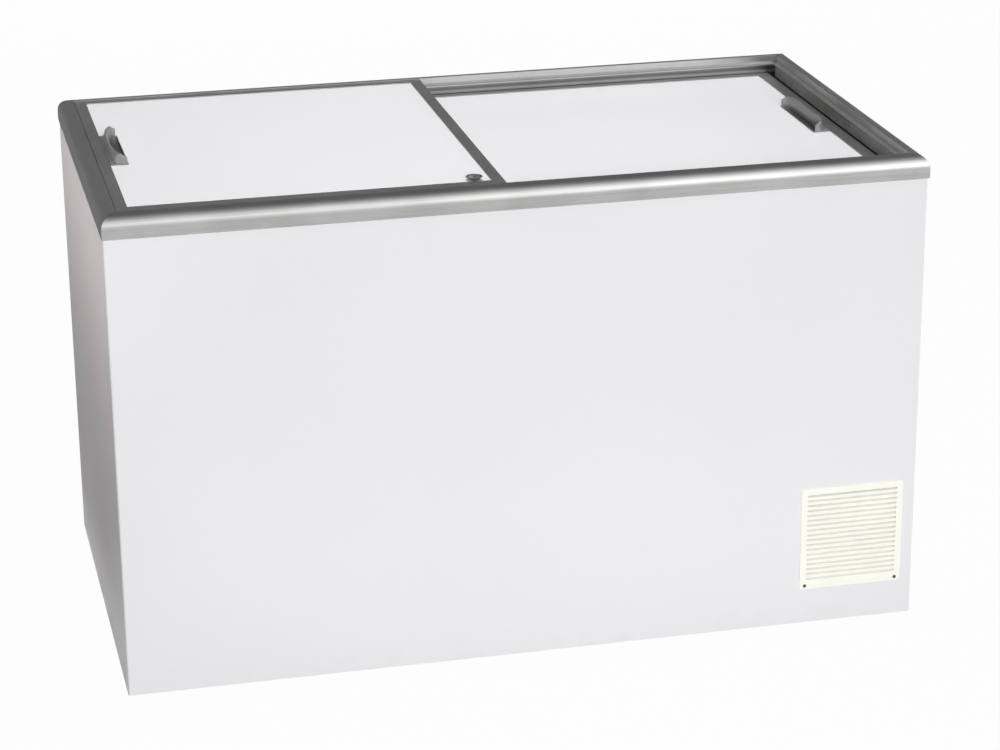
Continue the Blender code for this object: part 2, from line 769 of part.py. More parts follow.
def add_grille(paints):
    front = -HALF_DEPTH - GRILLE_PROUD
    seat = -HALF_DEPTH - CLEARANCE
    low = (GRILLE_X - GRILLE_WIDTH / 2, GRILLE_Z - GRILLE_HEIGHT / 2)
    high = (GRILLE_X + GRILLE_WIDTH / 2, GRILLE_Z + GRILLE_HEIGHT / 2)
    shape = prism(rounded_outline(low, high, GRILLE_CORNER), "y", front, seat)
    grille = add_mesh("front_grille", *shape, paints["cream_plastic"])
    cut(grille, prism(grille_opening(0), "y", (front + seat) / 2, front + GRILLE_DEPTH), "UNION")
    slots = []
    depth = GRILLE_DEPTH * 1.5
    left = low[0] + LOUVRE_SIDE
    right = high[0] - LOUVRE_SIDE
    first = GRILLE_Z - LOUVRE_PITCH * (LOUVRE_COUNT - 1) / 2 + LOUVRE_DROP / 2
    for row in range(LOUVRE_COUNT):
        z = first + row * LOUVRE_PITCH
        half = LOUVRE_OPEN / 2
        drop = LOUVRE_DROP * 1.4
        rear = front + depth - SHEET
        ahead = front - SHEET
        outline = [(ahead, z - half), (ahead, z + half), (rear, z + half + drop), (rear, z - half + drop)]
        slots.append(prism(outline, "x", left, right))
    cut(grille, joined(slots))
    places = grille_screw_places()
    sink = SCREW_HEAD_HEIGHT * 0.55
    cut(grille, drill(places, SCREW_HEAD + HOLE_CLEARANCE, front - SHEET, front + sink + CLEARANCE))
    cut(grille, drill(places, SCREW_SHANK + HOLE_CLEARANCE, front, seat + SHEET))
    for i, (x, z) in enumerate(places):
        under = front + sink
        profile = [
            (SCREW_HEAD * 0.7, -SCREW_HEAD_HEIGHT * 0.55),
            (SCREW_HEAD, 0),
            (SCREW_SHANK, 0),
            (SCREW_SHANK, SCREW_LENGTH),
        ]
        shape = turned(profile, (x, under, z), "y", 12)
        add_mesh(f"grille_screw_{i + 1}", *shape, paints["screw_metal"])


def strip_section(width):
    """A channel that holds the edge of the lid panel: distance in, and height from its top."""
    low = -LID_THICKNESS
    return [
        (0, 0),
        (width, 0),
        (width, -LID_SKIN),
        (LID_EDGE_WALL, -LID_SKIN),
        (LID_EDGE_WALL, low + LID_SKIN),
        (width, low + LID_SKIN),
        (width, low),
        (0, low),
    ]


def add_strips(lid, box, widths, top, paint, empty):
    """Four mitred channels round a lid. The box is its low and high corner in plan."""
    centre = ((box[0][0] + box[1][0]) / 2, (box[0][1] + box[1][1]) / 2)
    half_x = (box[1][0] - box[0][0]) / 2
    half_y = (box[1][1] - box[0][1]) / 2
    for side in widths:
        lengthwise = side in ("front", "back")
        reach = half_x if lengthwise else half_y
        neighbours = ("left", "right") if lengthwise else ("front", "back")
        section = strip_section(widths[side])
        count = len(section)
        points = []
        for sign, other in zip((-1, 1), neighbours):
            slope = widths[other] / widths[side]
            for inward, height in section:
                run = sign * (reach - inward * slope - CLEARANCE / 2)
                x, y = along(side, inward, run, half_x, half_y)
                points.append((centre[0] + x, centre[1] + y, top + height))
        faces = [list(range(count)), list(range(count, 2 * count))]
        for i in range(count):
            j = (i + 1) % count
            faces.append([i, j, count + j, count + i])
        hang(add_mesh(f"{lid}_strip_{side}", points, faces, paint, empty.location), empty)


def add_panel(lid, box, top, paint, empty):
    edge = LID_EDGE_WALL + CLEARANCE
    skin = LID_SKIN + CLEARANCE
    low = (box[0][0] + edge, box[0][1] + edge, top - LID_THICKNESS + skin)
    high = (box[1][0] - edge, box[1][1] - edge, top - skin)
    panel = add_mesh(f"{lid}_panel", *block(low, high), paint, empty.location)
    hang(panel, empty)
    return panel


def handle_slice(place):
    """A slice across a grip as (across, height). Place runs from -1 at one end to 1 at the other."""
    bow = (1 - abs(place) ** HANDLE_BOW) ** (1 / HANDLE_BOW)
    swell = min(abs(place) / 0.8, 1.0)
    swell = swell * swell * (3 - 2 * swell)
    end = max(abs(place) - 0.86, 0.0) / 0.14
    tall = HANDLE_DIP + (HANDLE_HEIGHT - HANDLE_DIP) * swell - HANDLE_HEIGHT * 0.30 * end * end
    half = HANDLE_WALL / 2
    rim = HANDLE_WIDTH * (1 - 0.66 * bow) - 1.4 * HANDLE_WALL
    foot = HANDLE_WIDTH * (1 - 0.56 * bow) - half
    inner = rim + half * 1.2
    outer = max(rim - half - tall * 0.45, HANDLE_PLATE)
    cup = HANDLE_CUP * bow
    under = -cup - HANDLE_CUP_SKIN
    lip = HANDLE_WIDTH - HANDLE_WALL * 0.46
    return [
        (0, 0),
        (0, HANDLE_PLATE),
        (outer, HANDLE_PLATE * 1.4),
        (rim - half * 1.15, tall * 0.70),
        (rim - half * 0.7, tall - half * 0.6),
        (rim, tall),
        (rim + half * 0.7, tall - half * 0.5),
        (inner, tall - half * 1.7),
        (inner * 0.4 + foot * 0.6, tall * 0.42),
        (foot, HANDLE_PLATE),
        (foot + (lip - foot) * 0.05, -cup),
        (lip, -cup),
        (lip, HANDLE_PLATE * 0.5),
        (HANDLE_WIDTH, HANDLE_PLATE * 0.35),
        (HANDLE_WIDTH, 0),
        (HANDLE_WIDTH - CLEARANCE, under),
        (foot - HANDLE_CUP_SKIN * 0.6, under),
        (foot - HANDLE_CUP_SKIN, 0),
    ]


def add_handle(lid, panel, edge, inward, top, paint, empty):
    """A finger grip beside a lid's end strip, let into its panel. Inward is +1 or -1 along X."""
    points = []
    half = HANDLE_LENGTH / 2
    base = top - LID_SKIN
    start = edge + inward * CLEARANCE
    for step in range(HANDLE_STEPS + 1):
        place = -math.cos(math.pi * step / HANDLE_STEPS)
        for across, height in handle_slice(place):
            points.append((start + inward * across, HANDLE_OFFSET + half * place, base + height))
    count = len(handle_slice(0))
    faces = [list(range(count))]
    for row in range(HANDLE_STEPS):
        for i in range(count):
            j = (i + 1) % count
            faces.append(
                [row * count + i, row * count + j, (row + 1) * count + j, (row + 1) * count + i]
            )
    faces.append([HANDLE_STEPS * count + i for i in range(count)])
    handle = smooth(add_mesh(f"{lid}_handle", points, faces, paint, empty.location), 50)
    hang(handle, empty)
    pocket = (handle_slice(0)[-1][0] * 0.9, HANDLE_WIDTH + CLEARANCE)
    left, right = sorted(start + inward * across for across in pocket)
    reach = half + CLEARANCE
    outline = rounded_outline((left, HANDLE_OFFSET - reach), (right, HANDLE_OFFSET + reach), CLEARANCE)
    floor = base - HANDLE_CUP - HANDLE_CUP_SKIN - CLEARANCE
    cut(panel, prism(outline, "z", floor, base + LID_THICKNESS))


def add_left_lid(paints):
    empty = add_axis("left_lid_axis", (LEFT_LID_START, 0, LEFT_TOP))
    box = ((LEFT_LID_START, -LEFT_LID_Y), (LEFT_LID_END, LEFT_LID_Y))
    widths = {
        "front": FRONT_STRIP,
        "back": BACK_STRIP,
        "left": LEFT_END_STRIP,
        "right": LEFT_INNER_STRIP,
    }
    add_strips("left_lid", box, widths, LEFT_TOP, paints["lid_strip"], empty)
    panel = add_panel("left_lid", box, LEFT_TOP, paints["lid_white"], empty)
    hole = disc_outline((LOCK_X, LOCK_Y), LOCK_BARREL_RADIUS + HOLE_CLEARANCE)
    cut(panel, prism(hole, "z", LEFT_TOP - 2 * LID_THICKNESS, LEFT_TOP + LID_THICKNESS))
    edge = LEFT_LID_START + LEFT_END_STRIP
    add_handle("left_lid", panel, edge, 1, LEFT_TOP, paints["grey_plastic"], empty)
    add_rosette(paints["lock_metal"], empty)
    add_lock(paints, empty)


def add_rosette(paint, lid_empty):
    """The lock's plate, with a raised collar round the barrel and a swing-aside flap at its left."""
    base = LEFT_TOP - LID_SKIN
    flap = (LOCK_X - LOCK_FLAP_OFFSET, LOCK_Y)
    plate = arc((LOCK_X, LOCK_Y), LOCK_COLLAR_RADIUS, LOCK_COLLAR_RADIUS, -90, 90)
    plate += arc(flap, LOCK_FLAP_RADIUS, LOCK_FLAP_RADIUS, 90, 270)
    shape = prism(plate, "z", base, base + LOCK_PLATE)
    rosette = add_mesh("lock_rosette", *shape, paint, lid_empty.location)
    hang(rosette, lid_empty)
    inside = base + LOCK_PLATE / 2
    collar = disc_outline((LOCK_X, LOCK_Y), LOCK_COLLAR_RADIUS * 0.94)
    cut(rosette, prism(collar, "z", inside, base + LOCK_COLLAR_HEIGHT), "UNION")
    cover = disc_outline(flap, LOCK_FLAP_RADIUS * 0.90)
    cut(rosette, prism(cover, "z", inside, base + LOCK_FLAP_HEIGHT), "UNION")
    bore = disc_outline((LOCK_X, LOCK_Y), LOCK_BARREL_RADIUS + HOLE_CLEARANCE)
    cut(rosette, prism(bore, "z", base - SHEET, base + 2 * LOCK_COLLAR_HEIGHT))


def add_lock(paints, lid_empty):
    """The barrel with its key slot, and the cam under the lid that it turns."""
    axis = add_axis("lock_axis", (LOCK_X, LOCK_Y, LEFT_TOP - LID_SKIN))
    low = LEFT_TOP - LID_THICKNESS - LOCK_BARREL_TAIL
    top = LEFT_TOP - LID_SKIN + LOCK_COLLAR_HEIGHT + LOCK_BARREL_PROUD
    profile = [
        (LOCK_BARREL_RADIUS, low),
        (LOCK_BARREL_RADIUS, top - LOCK_BARREL_PROUD * 0.7),
        (LOCK_BARREL_RADIUS * 0.88, top),
    ]
    shape = turned(profile, (LOCK_X, LOCK_Y, 0))
    barrel = smooth(add_mesh("lock_barrel", *shape, paints["dark_plastic"], axis.location), 25)
    hang(barrel, axis)
    reach = LOCK_BARREL_RADIUS * 0.62
    half = KEY_SLOT_WIDTH / 2
    slot = block(
        (LOCK_X - reach, LOCK_Y - half, top - KEY_SLOT_DEPTH),
        (LOCK_X + reach, LOCK_Y + half, top + KEY_SLOT_DEPTH),
    )
    cut(barrel, slot)
    cam_top = low - CLEARANCE
    half = CAM_WIDTH / 2
    outline = rounded_outline(
        (LOCK_X - CAM_LENGTH, LOCK_Y - half), (LOCK_X + half, LOCK_Y + half), half * 0.9
    )
    shape = prism(outline, "z", cam_top - CAM_THICKNESS, cam_top)
    hang(add_mesh("lock_cam", *shape, paints["screw_metal"], axis.location), axis)
    axis.parent = lid_empty
    axis.location = axis.location - lid_empty.location


def add_right_lid(paints):
    empty = add_axis("right_lid_axis", (RIGHT_LID_END, 0, RIGHT_TOP))
    box = ((RIGHT_LID_START, -RIGHT_LID_Y), (RIGHT_LID_END, RIGHT_LID_Y))
    widths = {
        "front": FRONT_STRIP,
        "back": BACK_STRIP,
        "left": RIGHT_INNER_STRIP,
        "right": RIGHT_END_STRIP,
    }
    add_strips("right_lid", box, widths, RIGHT_TOP, paints["lid_strip"], empty)
    panel = add_panel("right_lid", box, RIGHT_TOP, paints["lid_white"], empty)
    edge = RIGHT_LID_END - RIGHT_END_STRIP
    add_handle("right_lid", panel, edge, -1, RIGHT_TOP, paints["grey_plastic"], empty)
    add_stile(paints["rubber"], empty)


def add_stile(paint, empty):
    """A raised seal on the lower lid's inner strip. It closes the step between the two lids."""
    left = RIGHT_LID_START + (RIGHT_INNER_STRIP - STILE_WIDTH) / 2
    right = left + STILE_WIDTH
    bottom = RIGHT_TOP + CLEARANCE
    top = LEFT_TOP - LID_THICKNESS - RUN_CLEARANCE
    shelf = bottom + STILE_SHELF
    slim = STILE_WIDTH * 0.3
    outline = [
        (left, bottom),
        (right, bottom),
        (right, shelf),
        (right - slim, shelf + slim),
        (right - slim, top),
        (left + slim, top),
        (left + slim, shelf + slim),
        (left, shelf),
    ]
    front = LOCK_Y + CAM_LENGTH * 0.65
    back = OUTER_Y - LIP - LID_SIDE_GAP
    stile = add_mesh("right_lid_stile", *prism(outline, "y", front, back), paint, empty.location)
    hang(stile, empty)


def add_condenser(paints):
    """A flat serpentine tube behind the grille, with a fan shroud at its back."""
    half = min(BAY_LENGTH * 0.36, CONDENSER_PITCH * CONDENSER_PASSES / 2)
    bend = CONDENSER_PITCH / 2
    low = PAN_TOP + CONDENSER_TUBE + RUN_CLEARANCE
    path = []
    for row in range(CONDENSER_PASSES):
        side = 1 if row % 2 == 0 else -1
        z = low + row * CONDENSER_PITCH
        path.append((FAN_X - side * half, CONDENSER_Y, z))
        path.append((FAN_X + side * half, CONDENSER_Y, z))
        if row == CONDENSER_PASSES - 1:
            continue
        for i in range(1, 4):
            angle = math.radians(-90 + 45 * i)
            x = FAN_X + side * (half + bend * math.cos(angle))
            path.append((x, CONDENSER_Y, z + bend + bend * math.sin(angle)))
    smooth(add_mesh("condenser_coil", *tube(path, CONDENSER_TUBE, 8), paints["black_paint"]), 60)
    tall = max(CONDENSER_PITCH * CONDENSER_PASSES, FAN_Z - PAN_TOP + FAN_RADIUS + SHROUD_MARGIN * 0.75)
    wide = FAN_RADIUS + SHROUD_MARGIN
    base = PAN_TOP + CLEARANCE
    shape = block((FAN_X - wide, SHROUD_FRONT, base), (FAN_X + wide, SHROUD_BACK, base + tall))
    shroud = add_mesh("fan_shroud", *shape, paints["dark_plastic"])
    ring = disc_outline((FAN_X, FAN_Z), FAN_RADIUS + FAN_RING_GAP, 32)
    cut(shroud, prism(ring, "y", SHROUD_FRONT - SHEET, SHROUD_BACK + SHEET))


def fan_blade(index):
    """One pitched blade, from inside the hub to the fan's rim."""
    angle = 2 * math.pi * index / FAN_BLADES
    out = Vector((math.cos(angle), 0, math.sin(angle)))
    across = Vector((-math.sin(angle), 0, math.cos(angle)))
    centre = Vector((FAN_X, FAN_FRONT + FAN_HUB / 2, FAN_Z))
    points = []
    for radius, width in ((FAN_HUB_RADIUS * 0.67, BLADE_ROOT), (FAN_RADIUS, BLADE_TIP)):
        for side in (-1, 1):
            for face in (-1, 1):
                depth = side * FAN_HUB * 0.30 + face * BLADE_THICKNESS / 2
                place = out * radius + across * side * width / 2
                points.append(centre + place + Vector((0, depth, 0)))
    faces = [[0, 1, 3, 2], [4, 5, 7, 6], [0, 1, 5, 4], [2, 3, 7, 6], [0, 2, 6, 4], [1, 3, 7, 5]]
    return points, faces


def add_fan(paints):
    axis = add_axis("fan_axis", (FAN_X, FAN_FRONT, FAN_Z))
    profile = [(FAN_HUB_RADIUS * 0.9, 0), (FAN_HUB_RADIUS, FAN_HUB * 0.14), (FAN_HUB_RADIUS, FAN_HUB)]
    hub = turned(profile, (FAN_X, FAN_FRONT, FAN_Z), "y")
    fan = add_mesh("fan_blades", *hub, paints["dark_plastic"], axis.location)
    hang(fan, axis)
    for index in range(FAN_BLADES):
        cut(fan, fan_blade(index), "UNION")
    profile = [(MOTOR_RADIUS * 0.8, 0), (MOTOR_RADIUS, MOTOR_LENGTH * 0.12), (MOTOR_RADIUS, MOTOR_LENGTH)]
    motor = turned(profile, (FAN_X, MOTOR_FRONT, FAN_Z), "y")
    smooth(add_mesh("fan_motor", *motor, paints["galvanised"]), 25)
    add_fan_bracket(paints["galvanised"])


def add_fan_bracket(paint):
    """A bent strap that holds the motor off the pan."""
    front = MOTOR_BACK + CLEARANCE
    floor = PAN_TOP + CLEARANCE
    half = MOTOR_RADIUS + BRACKET_MARGIN
    outline = [
        (front, floor),
        (front + BRACKET_FOOT, floor),
        (front + BRACKET_FOOT, floor + BRACKET_SHEET),
        (front + BRACKET_SHEET, floor + BRACKET_SHEET),
        (front + BRACKET_SHEET, FAN_Z + half),
        (front, FAN_Z + half),
    ]
    add_mesh("fan_bracket", *prism(outline, "x", FAN_X - half, FAN_X + half), paint)


def add_compressor(paints):
    radius = COMPRESSOR_RADIUS
    tall = COMPRESSOR_HEIGHT
    profile = [
        (radius * 0.70, 0),
        (radius * 0.90, tall * 0.06),
        (radius * 0.97, tall * 0.16),
        (radius * 0.97, tall * 0.46),
        (radius, tall * 0.47),
        (radius, tall * 0.51),
        (radius * 0.97, tall * 0.52),
        (radius * 0.97, tall * 0.72),
        (radius * 0.85, tall * 0.88),
        (radius * 0.55, tall * 0.97),
        (radius * 0.20, tall),
    ]
    place = (FAN_X, COMPRESSOR_Y, COMPRESSOR_BASE)
    smooth(add_mesh("compressor", *turned(profile, place), paints["black_paint"]), 30)
    add_compressor_base(paints)
    add_controls(paints)


def add_compressor_base(paints):
    """The plate under the compressor, on four rubber mounts."""
    half_x = min(COMPRESSOR_RADIUS * 1.25, BAY_LENGTH / 2 - PLATE_CORNER)
    half_y = COMPRESSOR_RADIUS
    outline = rounded_outline(
        (FAN_X - half_x, COMPRESSOR_Y - half_y), (FAN_X + half_x, COMPRESSOR_Y + half_y), PLATE_CORNER
    )
    shape = prism(outline, "z", PLATE_Z, PLATE_Z + COMPRESSOR_PLATE)
    add_mesh("compressor_plate", *shape, paints["black_paint"])
    profile = [
        (MOUNT_RADIUS * 0.92, 0),
        (MOUNT_RADIUS, MOUNT_HEIGHT * 0.17),
        (MOUNT_RADIUS * 0.75, MOUNT_HEIGHT * 0.5),
        (MOUNT_RADIUS, MOUNT_HEIGHT),
    ]
    for i, (sx, sy, _) in enumerate(CORNERS):
        x = FAN_X + sx * (half_x - MOUNT_INSET)
        y = COMPRESSOR_Y + sy * (half_y - MOUNT_INSET)
        shape = turned(profile, (x, y, PAN_TOP + CLEARANCE), "z", 16)
        smooth(add_mesh(f"compressor_mount_{i + 1}", *shape, paints["rubber"]), 40)


def add_controls(paints):
    """The terminal box, the filter drier and the thermostat's box under the bay's roof."""
    wide, deep, tall = TERMINAL_BOX
    front = COMPRESSOR_Y + COMPRESSOR_RADIUS + RUN_CLEARANCE
    low = COMPRESSOR_BASE + COMPRESSOR_HEIGHT * 0.49 - tall / 2
    shape = block((FAN_X - wide / 2, front, low), (FAN_X + wide / 2, front + deep, low + tall))
    add_mesh("terminal_box", *shape, paints["dark_plastic"])
    profile = [
        (DRIER_NECK, 0),
        (DRIER_RADIUS, DRIER_CONE),
        (DRIER_RADIUS, DRIER_LENGTH - DRIER_CONE),
        (DRIER_NECK, DRIER_LENGTH),
    ]
    place = (BAY_X + DRIER_RADIUS + RUN_CLEARANCE, COMPRESSOR_Y + DRIER_SETBACK, PAN_TOP + DRIER_RISE)
    smooth(add_mesh("filter_drier", *turned(profile, place, "z", 16), paints["copper"]), 40)
    wide, deep, tall = THERMOSTAT_BOX
    high = (BAY_X + THERMOSTAT_SIDE + wide, COMPRESSOR_Y, BAY_TOP - CLEARANCE)
    low = (high[0] - wide, high[1] - deep, high[2] - tall)
    add_mesh("thermostat_box", *block(low, high), paints["cream_plastic"])


def main():
    clear_scene()
    paints = make_materials()
    add_shell(paints)
    add_tank(paints)
    add_frame(paints["frame_metal"])
    add_corner_keys(paints["grey_plastic"])
    add_feet(paints["rubber"])
    add_grille(paints)
    add_left_lid(paints)
    add_right_lid(paints)
    add_condenser(paints)
    add_fan(paints)
    add_compressor(paints)


main()
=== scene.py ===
"""Chest freezer with two sliding lids: finishes, grips, lock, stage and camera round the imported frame."""

import math

import bmesh
import bpy
from bpy.props import FloatProperty, FloatVectorProperty, PointerProperty
from mathutils import Matrix, Vector


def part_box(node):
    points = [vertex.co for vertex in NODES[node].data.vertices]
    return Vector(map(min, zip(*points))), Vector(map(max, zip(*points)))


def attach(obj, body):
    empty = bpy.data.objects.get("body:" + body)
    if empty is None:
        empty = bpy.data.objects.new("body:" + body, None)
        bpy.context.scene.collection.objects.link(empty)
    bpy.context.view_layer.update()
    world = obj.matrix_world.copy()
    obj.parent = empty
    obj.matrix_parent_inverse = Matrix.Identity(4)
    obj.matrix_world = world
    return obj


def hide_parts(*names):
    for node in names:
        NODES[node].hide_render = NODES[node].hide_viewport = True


bl_info = {
    "name": "Chest Freezer Dresser",
    "version": (1, 0, 0),
    "blender": (4, 5, 0),
    "location": "3D View > Sidebar > Freezer",
    "description": "Finishes, small pieces, stage and camera for a chest freezer with sliding lids",
    "category": "Object",
}

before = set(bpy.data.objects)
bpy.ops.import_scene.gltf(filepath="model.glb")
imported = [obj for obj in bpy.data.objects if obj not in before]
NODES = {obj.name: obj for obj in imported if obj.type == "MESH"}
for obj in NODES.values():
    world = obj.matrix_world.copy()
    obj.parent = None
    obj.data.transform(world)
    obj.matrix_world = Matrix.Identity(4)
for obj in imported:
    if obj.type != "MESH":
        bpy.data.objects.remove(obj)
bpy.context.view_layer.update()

SIDES = ("front", "back", "left", "right")
CORNERS = ("front_left", "front_right", "back_left", "back_right")
LIDS = ("left_lid", "right_lid")

# Lengths are in metres and angles in degrees.
# Top frame: gaps round a lid, the painted shadow line's height, the upper ledge's edge and painted shade
# on the tracks. A track shade stop is a share of the height from the lower ledge to just over the upper
# one, and a factor on the metal's colour there, painted shade where it is under 1.
LID_REST = 0.0004
LID_TO_WALL = 0.0013
WALL_BLEND = 0.0004
SHADOW_LINE_HEIGHT = 0.0022
LEDGE_EDGE = 0.0034
TRACK_SHADE_OVER_LEDGE = 0.002
LOWER_TRACK_SHADE = (
    (0.30, 0.25), (0.38, 0.35), (0.44, 0.62), (0.52, 0.62),
    (0.58, 0.30), (0.66, 0.26), (0.74, 0.38),
)
UPPER_TRACK_SHADE = ((0.80, 0.55), (0.85, 1.0), (0.925, 1.0), (0.94, 0.58), (0.98, 0.62), (0.995, 1.0))
FLOOR_GRIME = (0.52, 0.49, 0.44)

# Finger grips: a bowed wall with a rounded rim, standing on a thin plate round a shallow cup
GRIP_SLICES = 48
GRIP_BASE = 0.0049
GRIP_PLATE = 0.0014
GRIP_CUP = 0.0040
GRIP_SKIN = 0.0009
GRIP_LIP = 0.0012
GRIP_TUCK = 0.0003
GRIP_BOW = 2.4
GRIP_RIM_BOW = 0.66
GRIP_FOOT_BOW = 0.56
GRIP_RIM_HALF = 0.0013
GRIP_RIM_SWELL = 0.0012
GRIP_RIM_SETBACK = 0.0036
GRIP_MIDDLE = 0.84
GRIP_SWELL_END = 0.8
GRIP_LEAN = 0.45
GRIP_LEAN_END = 0.14
GRIP_TOP_END = 0.05
GRIP_TOP_DROP = 0.45

# Lock plate: a flared dish, as shares of its radius and height from the foot to the dish's floor
DISH_PROFILE = (
    (0.48, 0.0), (0.66, 0.24), (0.90, 0.66), (1.0, 0.90), (0.985, 0.97),
    (0.93, 1.0), (0.86, 0.97), (0.80, 0.88), (0.70, 0.80), (0.40, 0.76),
)
DISH_STEPS = 48
DISH_RISE = 0.0010
DISH_FORWARD = 0.002
BARREL_GAP = 0.0003
BARREL_EDGE = 2 / 3

# Stage: the floor, the reflector sheet and the camera
FLOOR_REACH = 40.0
FLOOR_GLOW = 0.98
SHEET_RADIUS = 6.0
SHEET_REACH = 12.0
SHEET_CENTRE = 0.8
SHEET_LIFT = 0.004
SHEET_DARK = 0.20
SHEET_AHEAD = 0.92
CAMERA_PLACE = (-1.0093, -4.4935, 2.0563)
CAMERA_TURN = -13.093
CAMERA_TILT = 20.158
CAMERA_ROLL = -0.466


class Wire:
    """An output socket of a finish. Arithmetic on it adds Math nodes."""

    def __init__(self, finish, socket):
        self.finish = finish
        self.socket = socket

    def math(self, operation, other=None, swapped=False):
        """Adds a Math node on this value and, if given, another."""
        pair = [self] if other is None else [self, other]
        if swapped:
            pair.reverse()
        return self.finish.node("ShaderNodeMath", {"operation": operation}, dict(enumerate(pair)))

    def __add__(self, other):
        return self.math("ADD", other)

    __radd__ = __add__

    def __sub__(self, other):
        return self.math("SUBTRACT", other)

    def __rsub__(self, other):
        return self.math("SUBTRACT", other, True)

    def __mul__(self, other):
        return self.math("MULTIPLY", other)

    __rmul__ = __mul__

    def __truediv__(self, other):
        return self.math("DIVIDE", other)

    def __rtruediv__(self, other):
        return self.math("DIVIDE", other, True)

    def __pow__(self, other):
        return self.math("POWER", other)

    def __rpow__(self, other):
        return self.math("POWER", other, True)

    def __abs__(self):
        return self.math("ABSOLUTE")

    def above(self, low, high):
        """0 under low and 1 over high, smooth between."""
        values = {"Value": self, "From Min": low, "From Max": high}
        return self.finish.node("ShaderNodeMapRange", {"interpolation_type": "SMOOTHSTEP"}, values)


class Finish:
    """A material under construction, with the nodes that feed its shader."""

    def __init__(self, name, tree=None):
        self.material = None
        self.shade = None
        if tree is None:
            self.material = bpy.data.materials.new(name)
            self.material.use_nodes = True
            tree = self.material.node_tree
        self.tree = tree
        self.shader = tree.nodes.get("Principled BSDF")

    def node(self, kind, settings=None, values=None, out=0):
        """Adds a node, applies its settings, then sets or links its sockets."""
        made = self.tree.nodes.new(kind)
        for key, value in (settings or {}).items():
            if key == "stops":
                self.set_stops(made.color_ramp, value)
            else:
                setattr(made, key, value)
        for key, value in (values or {}).items():
            self.feed(made.inputs[key], value)
        return Wire(self, made.outputs[out])

    def set_stops(self, ramp, stops):
        """Gives a colour ramp its stops, as (place, colour)."""
        for place, _ in stops[1:-1]:
            ramp.elements.new(place)
        for element, (place, colour) in zip(ramp.elements, stops):
            element.position = place
            element.color = (*colour, 1.0)

    def feed(self, socket, value):
        """Links a wire to a socket, or sets the socket to a plain value."""
        if isinstance(value, Wire):
            self.tree.links.new(value.socket, socket)
        else:
            socket.default_value = value

    def place(self):
        """The point on the surface, in the frame's metres."""
        return self.node("ShaderNodeTexCoord", out="Object")

    def axes(self):
        """The point's X, Y and Z, each on its own wire."""
        split = self.node("ShaderNodeSeparateXYZ", None, {0: self.place()})
        outputs = split.socket.node.outputs
        return [Wire(self, socket) for socket in outputs]

    def stretched(self, x, y, z):
        """The point with each axis times a factor."""
        settings = {"operation": "MULTIPLY"}
        return self.node("ShaderNodeVectorMath", settings, {0: self.place(), 1: (x, y, z)})

    def noise(self, scale, detail=2.0, rough=0.5, where=None):
        """Cloudy noise from 0 to 1."""
        where = where or self.place()
        values = {"Vector": where, "Scale": scale, "Detail": detail, "Roughness": rough}
        return self.node("ShaderNodeTexNoise", None, values)

    def blend(self, amount, first, second, way="MIX"):
        """Mixes two colours by an amount from 0 to 1."""
        first = first if isinstance(first, Wire) else (*first, 1.0)
        second = second if isinstance(second, Wire) else (*second, 1.0)
        settings = {"data_type": "RGBA", "blend_type": way}
        return self.node("ShaderNodeMix", settings, {0: amount, 6: first, 7: second}, 2)

    def bump(self, height, distance, strength):
        """A bumped normal from a height."""
        values = {"Height": height, "Distance": distance, "Strength": strength}
        return self.node("ShaderNodeBump", None, values)

    def surface(self, **inputs):
        """Feeds the shader's sockets, named as in Blender with _ for spaces."""
        for key, value in inputs.items():
            name = key.replace("_", " ")
            if isinstance(value, tuple) and len(value) == 3:
                value = (*value, 1.0)
            self.feed(self.shader.inputs[name], value)
        return self.material


def tint(colour, factor):
    """A colour made darker or paler, kept within 1."""
    return tuple(min(1.0, channel * factor) for channel in colour)


def painted_sheet(name, colour, low):
    """Stove-enamelled sheet: fine orange peel, faint clouding and floor grime along its foot."""
    finish = Finish(name)
    cloud = finish.noise(3.1, 3.0)
    grime = finish.noise(38.0, 5.0, 0.62)
    height = finish.axes()[2]
    foot = (1 - height.above(low + 0.004, low + 0.060)) * grime.above(0.42, 0.80)
    clouded = finish.blend(cloud, tint(colour, 0.975), tint(colour, 1.015))
    dirty = finish.blend(foot * 0.10, clouded, FLOOR_GRIME)
    peel = finish.noise(520.0, 1.5)
    return finish.surface(
        Base_Color=dirty,
        Roughness=0.30 + cloud * 0.08 + foot * 0.25,
        Normal=finish.bump(peel, 0.00012, 0.35),
        Specular_IOR_Level=0.12,
    )


def brushed_metal(name, colour, along, roughness):
    """Satin extrusion with drawing lines along one axis, handling wear and dull patches."""
    finish = Finish(name)
    fine = [900.0, 900.0, 900.0]
    fine[along] = 6.0
    lines = finish.noise(1.0, 4.0, 0.7, finish.stretched(*fine))
    patch = finish.noise(9.0, 4.0, 0.6)
    tone = lines * 0.55 + patch * 0.45
    finish.shade = finish.blend(tone.above(0.30, 0.72), tint(colour, 0.86), tint(colour, 1.12))
    finish.surface(
        Base_Color=finish.shade,
        Metallic=1.0,
        Roughness=roughness - 0.06 + lines * 0.10 + patch * 0.10,
        Normal=finish.bump(lines, 0.00006, 0.5),
    )
    return finish


def paint_track_shade(finish, ledge, floor, rim):
    """Greys the lid tracks with painted shade by height: darker in the corner over each ledge and under the
    nose.
    """
    _, depth, height = finish.axes()
    share = (height - floor) / (ledge + TRACK_SHADE_OVER_LEDGE - floor)
    # Painted shade: the stops darken the metal by height, standing in for the shade under the nose and in
    # the ledge corners.
    stops = [(place, (level, level, level)) for place, level in LOWER_TRACK_SHADE + UPPER_TRACK_SHADE]
    track_shade = finish.node("ShaderNodeValToRGB", {"stops": stops}, {0: share})
    inner = 1 - abs(depth).above(rim, rim + WALL_BLEND)
    finish.surface(Base_Color=finish.blend(inner, finish.shade, track_shade, "MULTIPLY"))


